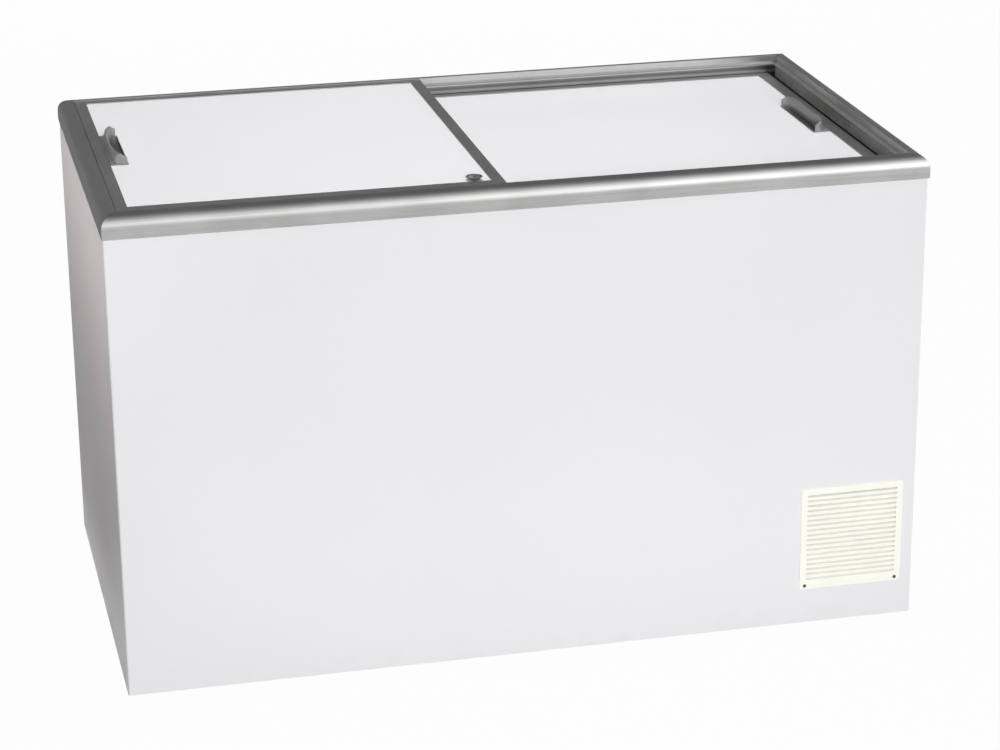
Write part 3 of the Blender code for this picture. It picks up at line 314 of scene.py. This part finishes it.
def dull_inside(finish, rim, floor, ledge):
    """Leaves the inner faces of a cross rail matt grey, in painted bands of light and shade by height:
    lighter on the lower wall, dark at its foot and just under the upper ledge, with a black painted shadow
    line beside the lid's end.
    """
    across, _, level = finish.axes()
    outer = abs(across).above(rim, rim + WALL_BLEND)
    # Painted shadow: a black line at the foot, beside the lid's end, where the gap lies in shade.
    line = 1 - level.above(floor + SHADOW_LINE_HEIGHT, floor + SHADOW_LINE_HEIGHT + 0.0008)
    grain = finish.noise(30.0, 5.0, 0.65)
    # Painted light and shade: the lower wall is painted lighter, its foot and the band just under the upper
    # ledge darker.
    wall_foot = level.above(floor + 0.0008, floor + 0.0016)
    wall_head = 1 - level.above(ledge - LEDGE_EDGE, ledge - LEDGE_EDGE + 0.0004)
    matt = finish.blend(wall_foot * wall_head, (0.15, 0.15, 0.145), (0.64, 0.64, 0.63))
    over_ledge = level.above(ledge + 0.0002, ledge + 0.0008)
    matt = finish.blend(over_ledge, matt, (0.33, 0.33, 0.325))
    wear_and_painted_light = finish.blend(grain.above(0.25, 0.75) * 0.35, matt, (0.10, 0.10, 0.10))
    wear_and_painted_light = finish.blend(line, wear_and_painted_light, (0.006, 0.006, 0.006))
    finish.surface(Base_Color=finish.blend(outer, wear_and_painted_light, finish.shade), Metallic=outer)


def moulded_plastic(name, colour, roughness=0.42, cloud=0.08, metallic=0.0, cup=None):
    """Injection-moulded plastic with a fine grain, flow clouding and, if given a cup height, painted shade
    below it.
    """
    finish = Finish(name)
    cells = finish.noise(700.0, 2.0, 0.6)
    flow = finish.noise(24.0, 3.0, 0.55)
    shade = finish.blend(flow.above(0.25, 0.78), tint(colour, 1 - cloud), tint(colour, 1 + cloud))
    if cup is not None:
        # Painted shade: below the cup height the plastic is darkened, standing in for the shade in the
        # grip's cup.
        height = finish.axes()[2]
        shade = finish.blend(height.above(cup, cup + 0.003), tint(colour, 0.22), shade)
    return finish.surface(
        Base_Color=shade,
        Metallic=metallic,
        Roughness=roughness - 0.06 + flow * 0.14,
        Normal=finish.bump(cells, 0.00016, 0.4),
    )


def lid_laminate(name, colour):
    """White lid skin: smooth laminate with a faint pebble and fine wipe marks."""
    finish = Finish(name)
    wipe = finish.noise(1.0, 3.0, 0.6, finish.stretched(5.0, 140.0, 5.0))
    cloud = finish.noise(2.4, 2.0)
    pebble = finish.noise(330.0, 2.0)
    return finish.surface(
        Base_Color=finish.blend(cloud, tint(colour, 0.98), tint(colour, 1.012)),
        Roughness=0.30 + wipe * 0.10 + cloud * 0.06,
        Normal=finish.bump(pebble, 0.00010, 0.30),
    )


def embossed_liner(name, colour):
    """Tank liner of stucco-embossed sheet."""
    finish = Finish(name)
    values = {"Vector": finish.place(), "Scale": 150.0}
    cells = finish.node("ShaderNodeTexVoronoi", {"feature": "SMOOTH_F1"}, values)
    frost = finish.noise(6.0, 5.0, 0.65)
    return finish.surface(
        Base_Color=finish.blend(frost.above(0.35, 0.8), tint(colour, 0.90), tint(colour, 1.06)),
        Metallic=0.35,
        Roughness=0.34 + frost * 0.16,
        Normal=finish.bump(cells, 0.0006, 0.45),
    )


def zinc_sheet(name, colour):
    """Hot-dip galvanised sheet with spangle."""
    finish = Finish(name)
    values = {"Vector": finish.place(), "Scale": 70.0}
    spangle = finish.node("ShaderNodeTexVoronoi", {"feature": "F1"}, values, 1)
    level = finish.node("ShaderNodeSeparateColor", None, {0: spangle})
    dull = finish.noise(14.0, 4.0, 0.6)
    return finish.surface(
        Base_Color=finish.blend(level * 0.6 + dull * 0.4, tint(colour, 0.80), tint(colour, 1.15)),
        Metallic=0.85,
        Roughness=0.34 + level * 0.16 + dull * 0.10,
    )


def black_rubber(name, colour):
    """Rubber with a chalky bloom and a pitted surface."""
    finish = Finish(name)
    bloom = finish.noise(60.0, 5.0, 0.65)
    pits = finish.noise(850.0, 2.0)
    return finish.surface(
        Base_Color=finish.blend(bloom.above(0.40, 0.85), colour, tint(colour, 2.6)),
        Roughness=0.72 + bloom * 0.18,
        Normal=finish.bump(pits, 0.0002, 0.5),
    )


def drawn_tube(name, colour, metallic=1.0, roughness=0.34):
    """Drawn tube or pressed steel with patchy tarnish."""
    finish = Finish(name)
    tarnish = finish.noise(45.0, 5.0, 0.6)
    shade = finish.blend(tarnish.above(0.35, 0.75), tint(colour, 0.62), tint(colour, 1.1))
    return finish.surface(Base_Color=shade, Metallic=metallic, Roughness=roughness + tarnish * 0.22)


def cut_foam(name, colour):
    """Rigid foam with open cells where it was cut."""
    finish = Finish(name)
    cells = finish.node("ShaderNodeTexVoronoi", None, {"Vector": finish.place(), "Scale": 420.0})
    age = finish.noise(8.0, 4.0)
    shade = finish.blend(age, tint(colour, 0.85), tint(colour, 1.08))
    return finish.surface(Base_Color=shade, Roughness=0.92, Normal=finish.bump(cells, 0.0008, 0.7))


def dish_metal(name, colour, rim):
    """Dark cast metal, with painted light on the floor of the dish and painted shade on its rim."""
    finish = Finish(name)
    dish_mottle = finish.noise(90.0, 4.0, 0.6)
    height = finish.axes()[2]
    # Painted light and shade: the dish's floor is painted two to three times lighter and its rim darker.
    inside = finish.blend(dish_mottle.above(0.3, 0.7), tint(colour, 2.1), tint(colour, 3.0))
    shade = finish.blend(height.above(rim - 0.0011, rim - 0.0007), inside, tint(colour, 0.55))
    shade = finish.blend(height.above(rim - 0.0035, rim - 0.0015), tint(colour, 0.9), shade)
    return finish.surface(Base_Color=shade, Metallic=0.6, Roughness=0.32 + dish_mottle * 0.2)


class FreezerSizes(bpy.types.PropertyGroup):
    """Sizes and light levels that a user may change."""

    edge_break: FloatProperty(
        name="Edge break",
        description="Width of the small rounding on the lid channels, lock and grille",
        default=0.0003,
        unit="LENGTH",
    )
    camera_lens: FloatProperty(
        name="Lens", description="Focal length on a 36 mm sensor", default=104.575, unit="CAMERA"
    )
    lamp_power: FloatProperty(
        name="Key light", description="Power of the large front lamp", default=380.0, unit="POWER"
    )
    ambient: FloatProperty(
        name="Room light", description="Strength of the even light from all sides", default=0.12
    )


def colour_property(name, description, default):
    """A colour that a user may change."""
    return FloatVectorProperty(
        name=name, description=description, default=default, subtype="COLOR", min=0.0, max=1.0
    )


class FreezerColours(bpy.types.PropertyGroup):
    """Colours of the freezer's finishes, in linear light."""

    enamel: colour_property("Enamel", "White paint of the cabinet", (0.80, 0.80, 0.825))
    laminate: colour_property("Lid skin", "White skin of the two lids", (0.80, 0.80, 0.825))
    extrusion: colour_property("Frame metal", "Satin metal of the top frame", (0.47, 0.47, 0.465))
    channel: colour_property("Lid channel", "Grey channels round the lids", (0.53, 0.53, 0.52))
    grip: colour_property("Grip", "Grey plastic of the handles", (0.27, 0.27, 0.27))
    vent: colour_property("Vent", "Cream plastic of the grille", (0.93, 0.925, 0.845))
    liner: colour_property("Liner", "Embossed sheet of the tank", (0.74, 0.75, 0.76))
    zinc: colour_property("Zinc", "Galvanised sheet", (0.46, 0.47, 0.48))
    rubber: colour_property("Rubber", "Feet, mounts and lid seal", (0.022, 0.022, 0.022))
    copper: colour_property("Copper", "Refrigerant tube", (0.72, 0.36, 0.20))
    foam: colour_property("Foam", "Insulating foam", (0.80, 0.70, 0.46))
    dark: colour_property("Dark plastic", "Lock barrel, fan and boxes", (0.03, 0.03, 0.03))
    lacquer: colour_property("Black lacquer", "Compressor and condenser", (0.022, 0.022, 0.022))
    steel: colour_property("Dark steel", "Screws and lock", (0.14, 0.14, 0.14))


def colours():
    """The colours set in the scene."""
    return bpy.context.scene.freezer_colours


def sizes():
    """The sizes and light levels set in the scene."""
    return bpy.context.scene.freezer_sizes


def soften_group():
    """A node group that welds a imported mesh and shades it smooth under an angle."""
    group = bpy.data.node_groups.get("soften")
    if group:
        return group
    group = bpy.data.node_groups.new("soften", "GeometryNodeTree")
    group.interface.new_socket("Geometry", in_out="INPUT", socket_type="NodeSocketGeometry")
    group.interface.new_socket("Angle", in_out="INPUT", socket_type="NodeSocketFloat")
    group.interface.new_socket("Geometry", in_out="OUTPUT", socket_type="NodeSocketGeometry")
    nodes = group.nodes
    start = nodes.new("NodeGroupInput")
    weld = nodes.new("GeometryNodeMergeByDistance")
    weld.inputs["Distance"].default_value = 0.00002
    bend = nodes.new("GeometryNodeInputMeshEdgeAngle")
    sharp = nodes.new("FunctionNodeCompare")
    faces = nodes.new("GeometryNodeSetShadeSmooth")
    edges = nodes.new("GeometryNodeSetShadeSmooth")
    edges.domain = "EDGE"
    edges.inputs["Shade Smooth"].default_value = False
    end = nodes.new("NodeGroupOutput")
    link = group.links.new
    link(start.outputs["Geometry"], weld.inputs["Geometry"])
    link(weld.outputs["Geometry"], faces.inputs["Geometry"])
    link(faces.outputs["Geometry"], edges.inputs["Geometry"])
    link(bend.outputs["Unsigned Angle"], sharp.inputs["A"])
    link(start.outputs["Angle"], sharp.inputs["B"])
    link(sharp.outputs["Result"], edges.inputs["Selection"])
    link(edges.outputs["Geometry"], end.inputs["Geometry"])
    return group


def soften(piece, angle=30.0):
    """Shades a piece smooth where its faces meet under an angle in degrees."""
    change = piece.modifiers.new("Soften", "NODES")
    change.node_group = soften_group()
    change["Socket_1"] = math.radians(angle)


def break_edges(piece, width):
    """Rounds the sharp edges of a piece."""
    change = piece.modifiers.new("Edge break", "BEVEL")
    change.width = width
    change.segments = 2
    change.limit_method = "ANGLE"
    change.angle_limit = math.radians(40)
    change.harden_normals = True


def dress(material, names, angle=30.0, edge=None):
    """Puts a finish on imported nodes, with smooth shading and, if asked, broken edges."""
    for name in names:
        piece = NODES[name]
        piece.data.materials.clear()
        piece.data.materials.append(material)
        soften(piece, angle)
        if edge:
            break_edges(piece, edge)


def object_from(build, name):
    """Turns a finished edit mesh into an object of the scene."""
    shape = bpy.data.meshes.new(name)
    build.to_mesh(shape)
    build.free()
    made = bpy.data.objects.new(name, shape)
    bpy.context.scene.collection.objects.link(made)
    return made


def loft(rings, name):
    """Joins rings of points with faces and closes the first and the last ring."""
    build = bmesh.new()
    rows = [[build.verts.new(point) for point in ring] for ring in rings]
    for near, far in zip(rows, rows[1:]):
        for i in range(len(near)):
            j = (i + 1) % len(near)
            build.faces.new((near[i], near[j], far[j], far[i]))
    build.faces.new(rows[0])
    build.faces.new(rows[-1])
    bmesh.ops.recalc_face_normals(build, faces=build.faces)
    return object_from(build, name)


class FREEZER_OT_cabinet(bpy.types.Operator):
    """Enamels the bent sheet, the rear panel and its cover"""

    bl_idname = "freezer.cabinet"
    bl_label = "Cabinet Sheet"

    def execute(self, context):
        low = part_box("outer_wrap")[0].z
        enamel = painted_sheet("cabinet_enamel", tuple(colours().enamel), low)
        dress(enamel, ["outer_wrap", "rear_panel", "rear_cover"])
        return {"FINISHED"}


class FREEZER_OT_frame(bpy.types.Operator):
    """Gives the four mitred extrusions a satin drawn finish, with painted light and shade on the back and
    cross rails
    """

    bl_idname = "freezer.frame"
    bl_label = "Top Frame"

    def execute(self, context):
        shade = tuple(colours().extrusion)
        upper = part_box("left_lid_strip_back")
        ledge = upper[0].z - LID_REST
        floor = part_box("right_lid_strip_back")[0].z - LID_REST
        front = brushed_metal("frame_metal_front", shade, 0, 0.18)
        # Painted light: the back and cross rails take lighter copies of the front rail's metal colour.
        back = brushed_metal("frame_metal_back", tint(shade, 1.12), 0, 0.26)
        paint_track_shade(back, ledge, floor, upper[1].y + LID_TO_WALL)
        cross = brushed_metal("frame_metal_cross", tint(shade, 1.1), 1, 0.32)
        dull_inside(cross, LID_TO_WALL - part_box("left_lid_strip_left")[0].x, floor, ledge)
        dress(front.material, ["frame_front"], 24.0)
        dress(back.material, ["frame_back"], 24.0)
        dress(cross.material, ["frame_left", "frame_right"], 24.0)
        keys = moulded_plastic("corner_key_plastic", tuple(colours().grip))
        dress(keys, [f"corner_key_{corner}" for corner in CORNERS])
        return {"FINISHED"}


class FREEZER_OT_lids(bpy.types.Operator):
    """Finishes both lids: white skins, grey channels and the raised seal"""

    bl_idname = "freezer.lids"
    bl_label = "Sliding Lids"

    def execute(self, context):
        edge = sizes().edge_break
        shade = tuple(colours().channel)
        skin = lid_laminate("lid_laminate", tuple(colours().laminate))
        channels = [brushed_metal(f"lid_channel_{axis}", shade, axis, 0.42).material for axis in (0, 1)]
        seal = black_rubber("lid_seal_rubber", tuple(colours().rubber))
        for lid in LIDS:
            dress(skin, [f"{lid}_panel"])
            for side in SIDES:
                axis = 0 if side in ("front", "back") else 1
                dress(channels[axis], [f"{lid}_strip_{side}"], edge=edge)
        dress(seal, ["right_lid_stile"])
        return {"FINISHED"}


def eased(share):
    """A smooth step from 0 to 1."""
    share = min(share, 1.0)
    return share * share * (3 - 2 * share)


def last_part(along, part):
    """0 until the last part of a grip's half length, then up to 1 at its end."""
    return max(along - 1 + part, 0.0) / part


def grip_slice(place, width, height):
    """A slice across a grip as (across, height). Place runs from -1 at one end to 1 at the other."""
    along = abs(place)
    bow = (1 - along**GRIP_BOW) ** (1 / GRIP_BOW)
    swell = eased(along / GRIP_SWELL_END)
    drop = math.sqrt(1 - GRIP_TOP_DROP * last_part(along, GRIP_TOP_END) ** 2)
    tall = (GRIP_MIDDLE + (1 - GRIP_MIDDLE) * swell) * height * drop
    half = GRIP_RIM_HALF + GRIP_RIM_SWELL * swell
    lean = GRIP_LEAN * math.sqrt(1 - last_part(along, GRIP_LEAN_END) ** 2)
    rim = width * (1 - GRIP_RIM_BOW * bow) - GRIP_RIM_SETBACK - GRIP_RIM_SWELL * swell
    foot = width * (1 - GRIP_FOOT_BOW * bow) - half
    outer = max(rim - half - tall * lean, GRIP_PLATE)
    low, top = GRIP_PLATE * 1.4, tall - half
    cup = GRIP_CUP * bow
    under = -cup - GRIP_SKIN
    lip = width - GRIP_LIP
    points = [(0, 0), (0, GRIP_PLATE)]
    for step in range(4):
        share = step / 4
        points.append((outer + (rim - half - outer) * share, low + (top - low) * share**1.5))
    for step in range(7):
        turn = math.pi * (1 - step / 6)
        points.append((rim + half * math.cos(turn), top + half * math.sin(turn)))
    for share in (0.35, 0.70):
        points.append((rim + half + (foot - rim - half) * share, top + (GRIP_PLATE - top) * share))
    points += [(foot, GRIP_PLATE), (foot + (lip - foot) * 0.05, -cup), (lip, -cup)]
    points += [(lip, GRIP_PLATE * 0.5), (width, GRIP_PLATE * 0.35), (width, 0), (width - GRIP_TUCK, under)]
    points += [(foot - 2 * GRIP_TUCK, under), (foot - 3 * GRIP_TUCK, 0)]
    return points


class FREEZER_OT_grips(bpy.types.Operator):
    """Moulds the two finger grips with rounded rims and ends"""

    bl_idname = "freezer.grips"
    bl_label = "Finger Grips"

    def execute(self, context):
        shade = tuple(colours().grip)
        for lid, inward in zip(LIDS, (1, -1)):
            low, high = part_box(f"{lid}_handle")
            grip = loft(self.slices(low, high, inward), f"{lid}_grip")
            # The last argument is the height under which the grip's cup is painted in shade.
            paint = moulded_plastic(f"{lid}_grip_plastic", shade, 0.30, 0.06, 0.5, low.z + 0.001)
            grip.data.materials.append(paint)
            soften(grip, 50.0)
            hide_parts(f"{lid}_handle")
            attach(grip, lid)
        return {"FINISHED"}

    def slices(self, low, high, inward):
        """Slices along the grip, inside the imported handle's box and closer together at its ends."""
        base = low.z + GRIP_BASE
        start = low.x if inward > 0 else high.x
        rings = []
        for step in range(GRIP_SLICES + 1):
            place = -math.cos(math.pi * step / GRIP_SLICES)
            y = (low.y + high.y) / 2 + (high.y - low.y) / 2 * place
            points = grip_slice(place, high.x - low.x, high.z - base)
            rings.append([(start + inward * across, y, base + height) for across, height in points])
        return rings


class FREEZER_OT_lock(bpy.types.Operator):
    """Turns the lock's flared plate and finishes the barrel and cam"""

    bl_idname = "freezer.lock"
    bl_label = "Lid Lock"

    def execute(self, context):
        edge = sizes().edge_break
        steel = drawn_tube("lock_steel", tint(colours().steel, 1.9), 0.9, 0.30)
        dark = moulded_plastic("lock_barrel_plastic", tint(colours().dark, 3.2), 0.32)
        dress(steel, ["lock_cam"], edge=edge)
        dress(dark, ["lock_barrel"], edge=edge * BARREL_EDGE)
        low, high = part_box("lock_rosette")
        rim = high.z + DISH_RISE
        plate = loft(self.rings(low, high, rim), "lock_plate")
        self.bore(plate, *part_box("lock_barrel"))
        plate.data.materials.append(dish_metal("lock_plate_metal", tuple(colours().steel), rim))
        soften(plate, 60.0)
        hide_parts("lock_rosette")
        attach(plate, "left_lid")
        return {"FINISHED"}

    def rings(self, low, high, rim):
        """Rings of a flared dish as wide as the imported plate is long."""
        x, y = (low.x + high.x) / 2, (low.y + high.y) / 2 - DISH_FORWARD
        half = (high.x - low.x) / 2
        turns = [math.tau * step / DISH_STEPS for step in range(DISH_STEPS)]
        rings = []
        for share, height in DISH_PROFILE:
            reach = half * share
            z = low.z + (rim - low.z) * height
            rings.append([(x + reach * math.cos(t), y + reach * math.sin(t), z) for t in turns])
        return rings

    def bore(self, plate, low, high):
        """Cuts the hole that the barrel turns in."""
        build = bmesh.new()
        radius = (high.x - low.x) / 2 + BARREL_GAP
        place = Matrix.Translation((low + high) / 2)
        settings = {"cap_ends": True, "segments": DISH_STEPS, "depth": 4 * (high.z - low.z)}
        bmesh.ops.create_cone(build, radius1=radius, radius2=radius, matrix=place, **settings)
        cutter = object_from(build, "lock_bore")
        cut = plate.modifiers.new("Bore", "BOOLEAN")
        cut.object = cutter
        cut.operation = "DIFFERENCE"
        bpy.context.view_layer.update()
        bored = plate.evaluated_get(bpy.context.evaluated_depsgraph_get())
        plate.data = bpy.data.meshes.new_from_object(bored)
        plate.modifiers.clear()
        bpy.data.objects.remove(cutter)


class FREEZER_OT_grille(bpy.types.Operator):
    """Finishes the louvred vent and its screws"""

    bl_idname = "freezer.grille"
    bl_label = "Vent Grille"

    def execute(self, context):
        cream = moulded_plastic("vent_plastic", tuple(colours().vent), 0.40, 0.02)
        steel = drawn_tube("screw_steel", tuple(colours().steel), 0.9, 0.32)
        dress(cream, ["front_grille"], edge=sizes().edge_break)
        dress(steel, ["grille_screw_1", "grille_screw_2"])
        dress(steel, [f"rear_screw_{i}" for i in (1, 2, 3, 4)])
        return {"FINISHED"}


class FREEZER_OT_inside(bpy.types.Operator):
    """Finishes the tank, foam, base, feet and cooling machinery"""

    bl_idname = "freezer.inside"
    bl_label = "Inside and Base"

    def execute(self, context):
        shade = colours()
        dress(embossed_liner("tank_liner", tuple(shade.liner)), ["inner_liner"])
        dress(cut_foam("foam", tuple(shade.foam)), ["insulation_foam"])
        zinc = zinc_sheet("zinc_sheet", tuple(shade.zinc))
        dress(zinc, ["base_pan", "bay_partition", "fan_motor", "fan_bracket"])
        rubber = black_rubber("foot_rubber", tuple(shade.rubber))
        dress(rubber, [f"foot_{corner}" for corner in CORNERS])
        dress(rubber, [f"compressor_mount_{i}" for i in (1, 2, 3, 4)])
        copper = drawn_tube("copper_tube", tuple(shade.copper))
        dress(copper, ["evaporator_coil", "filter_drier"], 60.0)
        black = drawn_tube("black_lacquer", tuple(shade.lacquer), 0.1, 0.34)
        dress(black, ["compressor", "compressor_plate", "condenser_coil"], 50.0)
        dark = moulded_plastic("machine_plastic", tuple(shade.dark))
        dress(dark, ["fan_shroud", "fan_blades", "terminal_box", "cord_gland"])
        pale = moulded_plastic("control_box_plastic", tuple(shade.vent))
        dress(pale, ["thermostat_box"])
        return {"FINISHED"}


def add_lamp(name, place, target, size, power, colour=(1.0, 1.0, 1.0)):
    """A soft rectangular lamp that neither the camera nor a mirror shows."""
    lamp = bpy.data.lights.new(name, "AREA")
    lamp.shape = "RECTANGLE"
    lamp.size, lamp.size_y = size
    lamp.energy = power
    lamp.color = colour
    made = bpy.data.objects.new(name, lamp)
    made.location = place
    made.rotation_euler = (Vector(target) - Vector(place)).to_track_quat("-Z", "Y").to_euler()
    made.visible_glossy = False
    made.visible_camera = False
    bpy.context.scene.collection.objects.link(made)


def seen_directly(finish):
    """1 for what the camera, a mirror or glass shows, and 0 for light that falls on things."""
    path = finish.node("ShaderNodeLightPath").socket.node.outputs
    total = Wire(finish, path["Is Camera Ray"]) + Wire(finish, path["Is Glossy Ray"])
    return (total + Wire(finish, path["Is Transmission Ray"])).math("MINIMUM", 1.0)


class FREEZER_OT_stage(bpy.types.Operator):
    """Sets the room light, floor, lamps, reflector and camera"""

    bl_idname = "freezer.stage"
    bl_label = "Stage and Camera"

    def execute(self, context):
        self.room(context.scene)
        self.floor()
        self.lamps()
        self.reflector()
        self.camera(context.scene)
        context.scene.view_settings.view_transform = "Standard"
        return {"FINISHED"}

    def room(self, scene):
        """Even light from all sides, with a white background."""
        world = bpy.data.worlds.new("studio")
        world.use_nodes = True
        scene.world = world
        tree = world.node_tree
        tree.nodes.clear()
        finish = Finish("studio", tree)
        soft = finish.node("ShaderNodeBackground", None, {0: (1, 1, 1, 1), 1: sizes().ambient})
        white = finish.node("ShaderNodeBackground", None, {0: (1, 1, 1, 1), 1: 1.0})
        values = {0: seen_directly(finish), 1: soft, 2: white}
        mixed = finish.node("ShaderNodeMixShader", None, values)
        out = tree.nodes.new("ShaderNodeOutputWorld")
        tree.links.new(mixed.socket, out.inputs[0])

    def floor(self):
        """A floor that looks nearly white and gives little light back."""
        build = bmesh.new()
        corners = [(-1, -1), (1, -1), (1, 1), (-1, 1)]
        build.faces.new([build.verts.new((FLOOR_REACH * x, FLOOR_REACH * y, 0)) for x, y in corners])
        ground = object_from(build, "studio_floor")
        finish = Finish("studio_floor")
        speck = finish.noise(40.0, 3.0)
        tone = finish.blend(speck, (0.21, 0.205, 0.20), (0.24, 0.235, 0.23))
        finish.surface(Base_Color=tone, Roughness=0.9)
        glow = finish.node("ShaderNodeEmission", None, {0: (1, 1, 1, 1), 1: 1.0})
        matte = Wire(finish, finish.shader.outputs[0])
        values = {0: seen_directly(finish) * FLOOR_GLOW, 1: matte, 2: glow}
        mixed = finish.node("ShaderNodeMixShader", None, values)
        finish.tree.links.new(mixed.socket, finish.tree.nodes["Material Output"].inputs[0])
        ground.data.materials.append(finish.material)

    def lamps(self):
        """A large key lamp in front, and weaker lamps round the freezer as shares of its power."""
        power = sizes().lamp_power
        warm = (1.0, 0.90, 0.87)
        middle = (0.0, 0.0, 0.45)
        add_lamp("key", (0.4, -6.8, 3.0), (0.0, 0.0, 0.40), (2.0, 3.0), power)
        add_lamp("low", (0.0, -1.0, 0.06), (0.0, 0.0, 0.12), (2.0, 0.1), power * 0.0034)
        add_lamp("top", (0.2, 0.1, 4.2), (0.1, 0.0, 0.80), (3.0, 2.4), power * 0.285)
        add_lamp("rear", (0.8, 6.4, 1.1), middle, (3.0, 1.6), power * 0.62)
        add_lamp("right", (6.4, 0.8, 1.1), middle, (2.2, 1.6), power * 0.55)
        add_lamp("left", (-6.4, 0.3, 1.0), middle, (2.2, 1.6), power * 0.115, warm)
        add_lamp("side", (-0.97, 0.0, 0.77), (-0.65, 0.0, 0.74), (1.3, 0.06), power * 0.0035, warm)

    def reflector(self):
        """A bent sheet from the back over the top to the front, with strips of floor ahead and beside.

        Only mirror-like reflections see it, so it shades the metal and lights nothing.
        """
        build = bmesh.new()
        angles = [math.radians(6 * step - 7) for step in range(33)]
        bend = [(SHEET_RADIUS * math.cos(a), SHEET_CENTRE + SHEET_RADIUS * math.sin(a)) for a in angles]
        ahead = [(depth, SHEET_LIFT) for depth in (-4.6, -3.4, -2.5)]
        rows = [[build.verts.new((x, y, z)) for x in (-SHEET_REACH, SHEET_REACH)] for y, z in bend + ahead]
        for low, high in zip(rows, rows[1:]):
            build.faces.new((low[0], low[1], high[1], high[0]))
        beside = [(-0.68, -0.42), (-0.68, 6.0), (-6.0, 6.0), (-6.0, -0.42)]
        build.faces.new([build.verts.new((x, y, SHEET_LIFT)) for x, y in beside])
        sheet = object_from(build, "reflector")
        sheet.data.materials.append(self.reflector_glow())
        sheet.visible_camera = False
        sheet.visible_diffuse = False
        sheet.visible_shadow = False
        sheet.visible_transmission = False

    def reflector_glow(self):
        """Brightness by the angle round the sheet: 0 behind, 90 overhead, 180 in front and 270 below."""
        finish = Finish("reflector")
        across, depth, height = finish.axes()
        turn = 180 - (height - SHEET_CENTRE).math("ARCTAN2", depth * -1) * (180 / math.pi)
        bright = SHEET_DARK + turn.above(45.0, 170.0) ** 2.6 * (1.45 + 0.95 * across.above(0.2, 2.4))
        ahead = bright + (SHEET_AHEAD - bright) * turn.above(164.0, 190.0)
        level = ahead + (SHEET_DARK - ahead) * turn.above(250.0, 300.0)
        tone = finish.node("ShaderNodeCombineColor", None, {0: level, 1: level, 2: level})
        black = finish.blend(finish.noise(1.0), (0.0, 0.0, 0.0), (0.001, 0.001, 0.001))
        return finish.surface(
            Base_Color=black, Emission_Color=tone, Emission_Strength=1.0, Specular_IOR_Level=0.0
        )

    def camera(self, scene):
        """The photograph's view: turned and tilted towards the freezer, with a slight roll."""
        lens = bpy.data.cameras.new("camera")
        lens.lens = sizes().camera_lens
        lens.sensor_width = 36.0
        lens.sensor_fit = "HORIZONTAL"
        lens.clip_end = 100.0
        made = bpy.data.objects.new("camera", lens)
        scene.collection.objects.link(made)
        turn, tilt, roll = (math.radians(a) for a in (CAMERA_TURN, CAMERA_TILT, CAMERA_ROLL))
        level = math.cos(tilt)
        back = Vector((math.sin(turn) * level, -math.cos(turn) * level, math.sin(tilt)))
        right = Vector((math.cos(turn), math.sin(turn), 0.0))
        up = back.cross(right)
        side = math.cos(roll) * right + math.sin(roll) * up
        top = -math.sin(roll) * right + math.cos(roll) * up
        place = Matrix((side, top, back)).transposed().to_4x4()
        place.translation = CAMERA_PLACE
        made.matrix_world = place
        scene.camera = made


OPERATORS = (
    FREEZER_OT_cabinet,
    FREEZER_OT_frame,
    FREEZER_OT_lids,
    FREEZER_OT_grips,
    FREEZER_OT_lock,
    FREEZER_OT_grille,
    FREEZER_OT_inside,
    FREEZER_OT_stage,
)


class FREEZER_PT_dresser(bpy.types.Panel):
    """Lists the steps that dress the freezer"""

    bl_idname = "FREEZER_PT_dresser"
    bl_label = "Freezer"
    bl_space_type = "VIEW_3D"
    bl_region_type = "UI"
    bl_category = "Freezer"

    def draw(self, context):
        for group in (context.scene.freezer_sizes, context.scene.freezer_colours):
            for key in group.__annotations__:
                self.layout.prop(group, key)
        for operator in OPERATORS:
            self.layout.operator(operator.bl_idname)


CLASSES = (FreezerSizes, FreezerColours, *OPERATORS, FREEZER_PT_dresser)


def register():
    for each in CLASSES:
        bpy.utils.register_class(each)
    bpy.types.Scene.freezer_sizes = PointerProperty(type=FreezerSizes)
    bpy.types.Scene.freezer_colours = PointerProperty(type=FreezerColours)


def unregister():
    del bpy.types.Scene.freezer_colours
    del bpy.types.Scene.freezer_sizes
    for each in reversed(CLASSES):
        bpy.utils.unregister_class(each)


def main():
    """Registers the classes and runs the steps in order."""
    register()
    for operator in OPERATORS:
        group, step = operator.bl_idname.split(".")
        done = getattr(getattr(bpy.ops, group), step)()
        if done != {"FINISHED"}:
            raise RuntimeError(f"{operator.bl_label} did not finish")


if __name__ == "__main__":
    main()
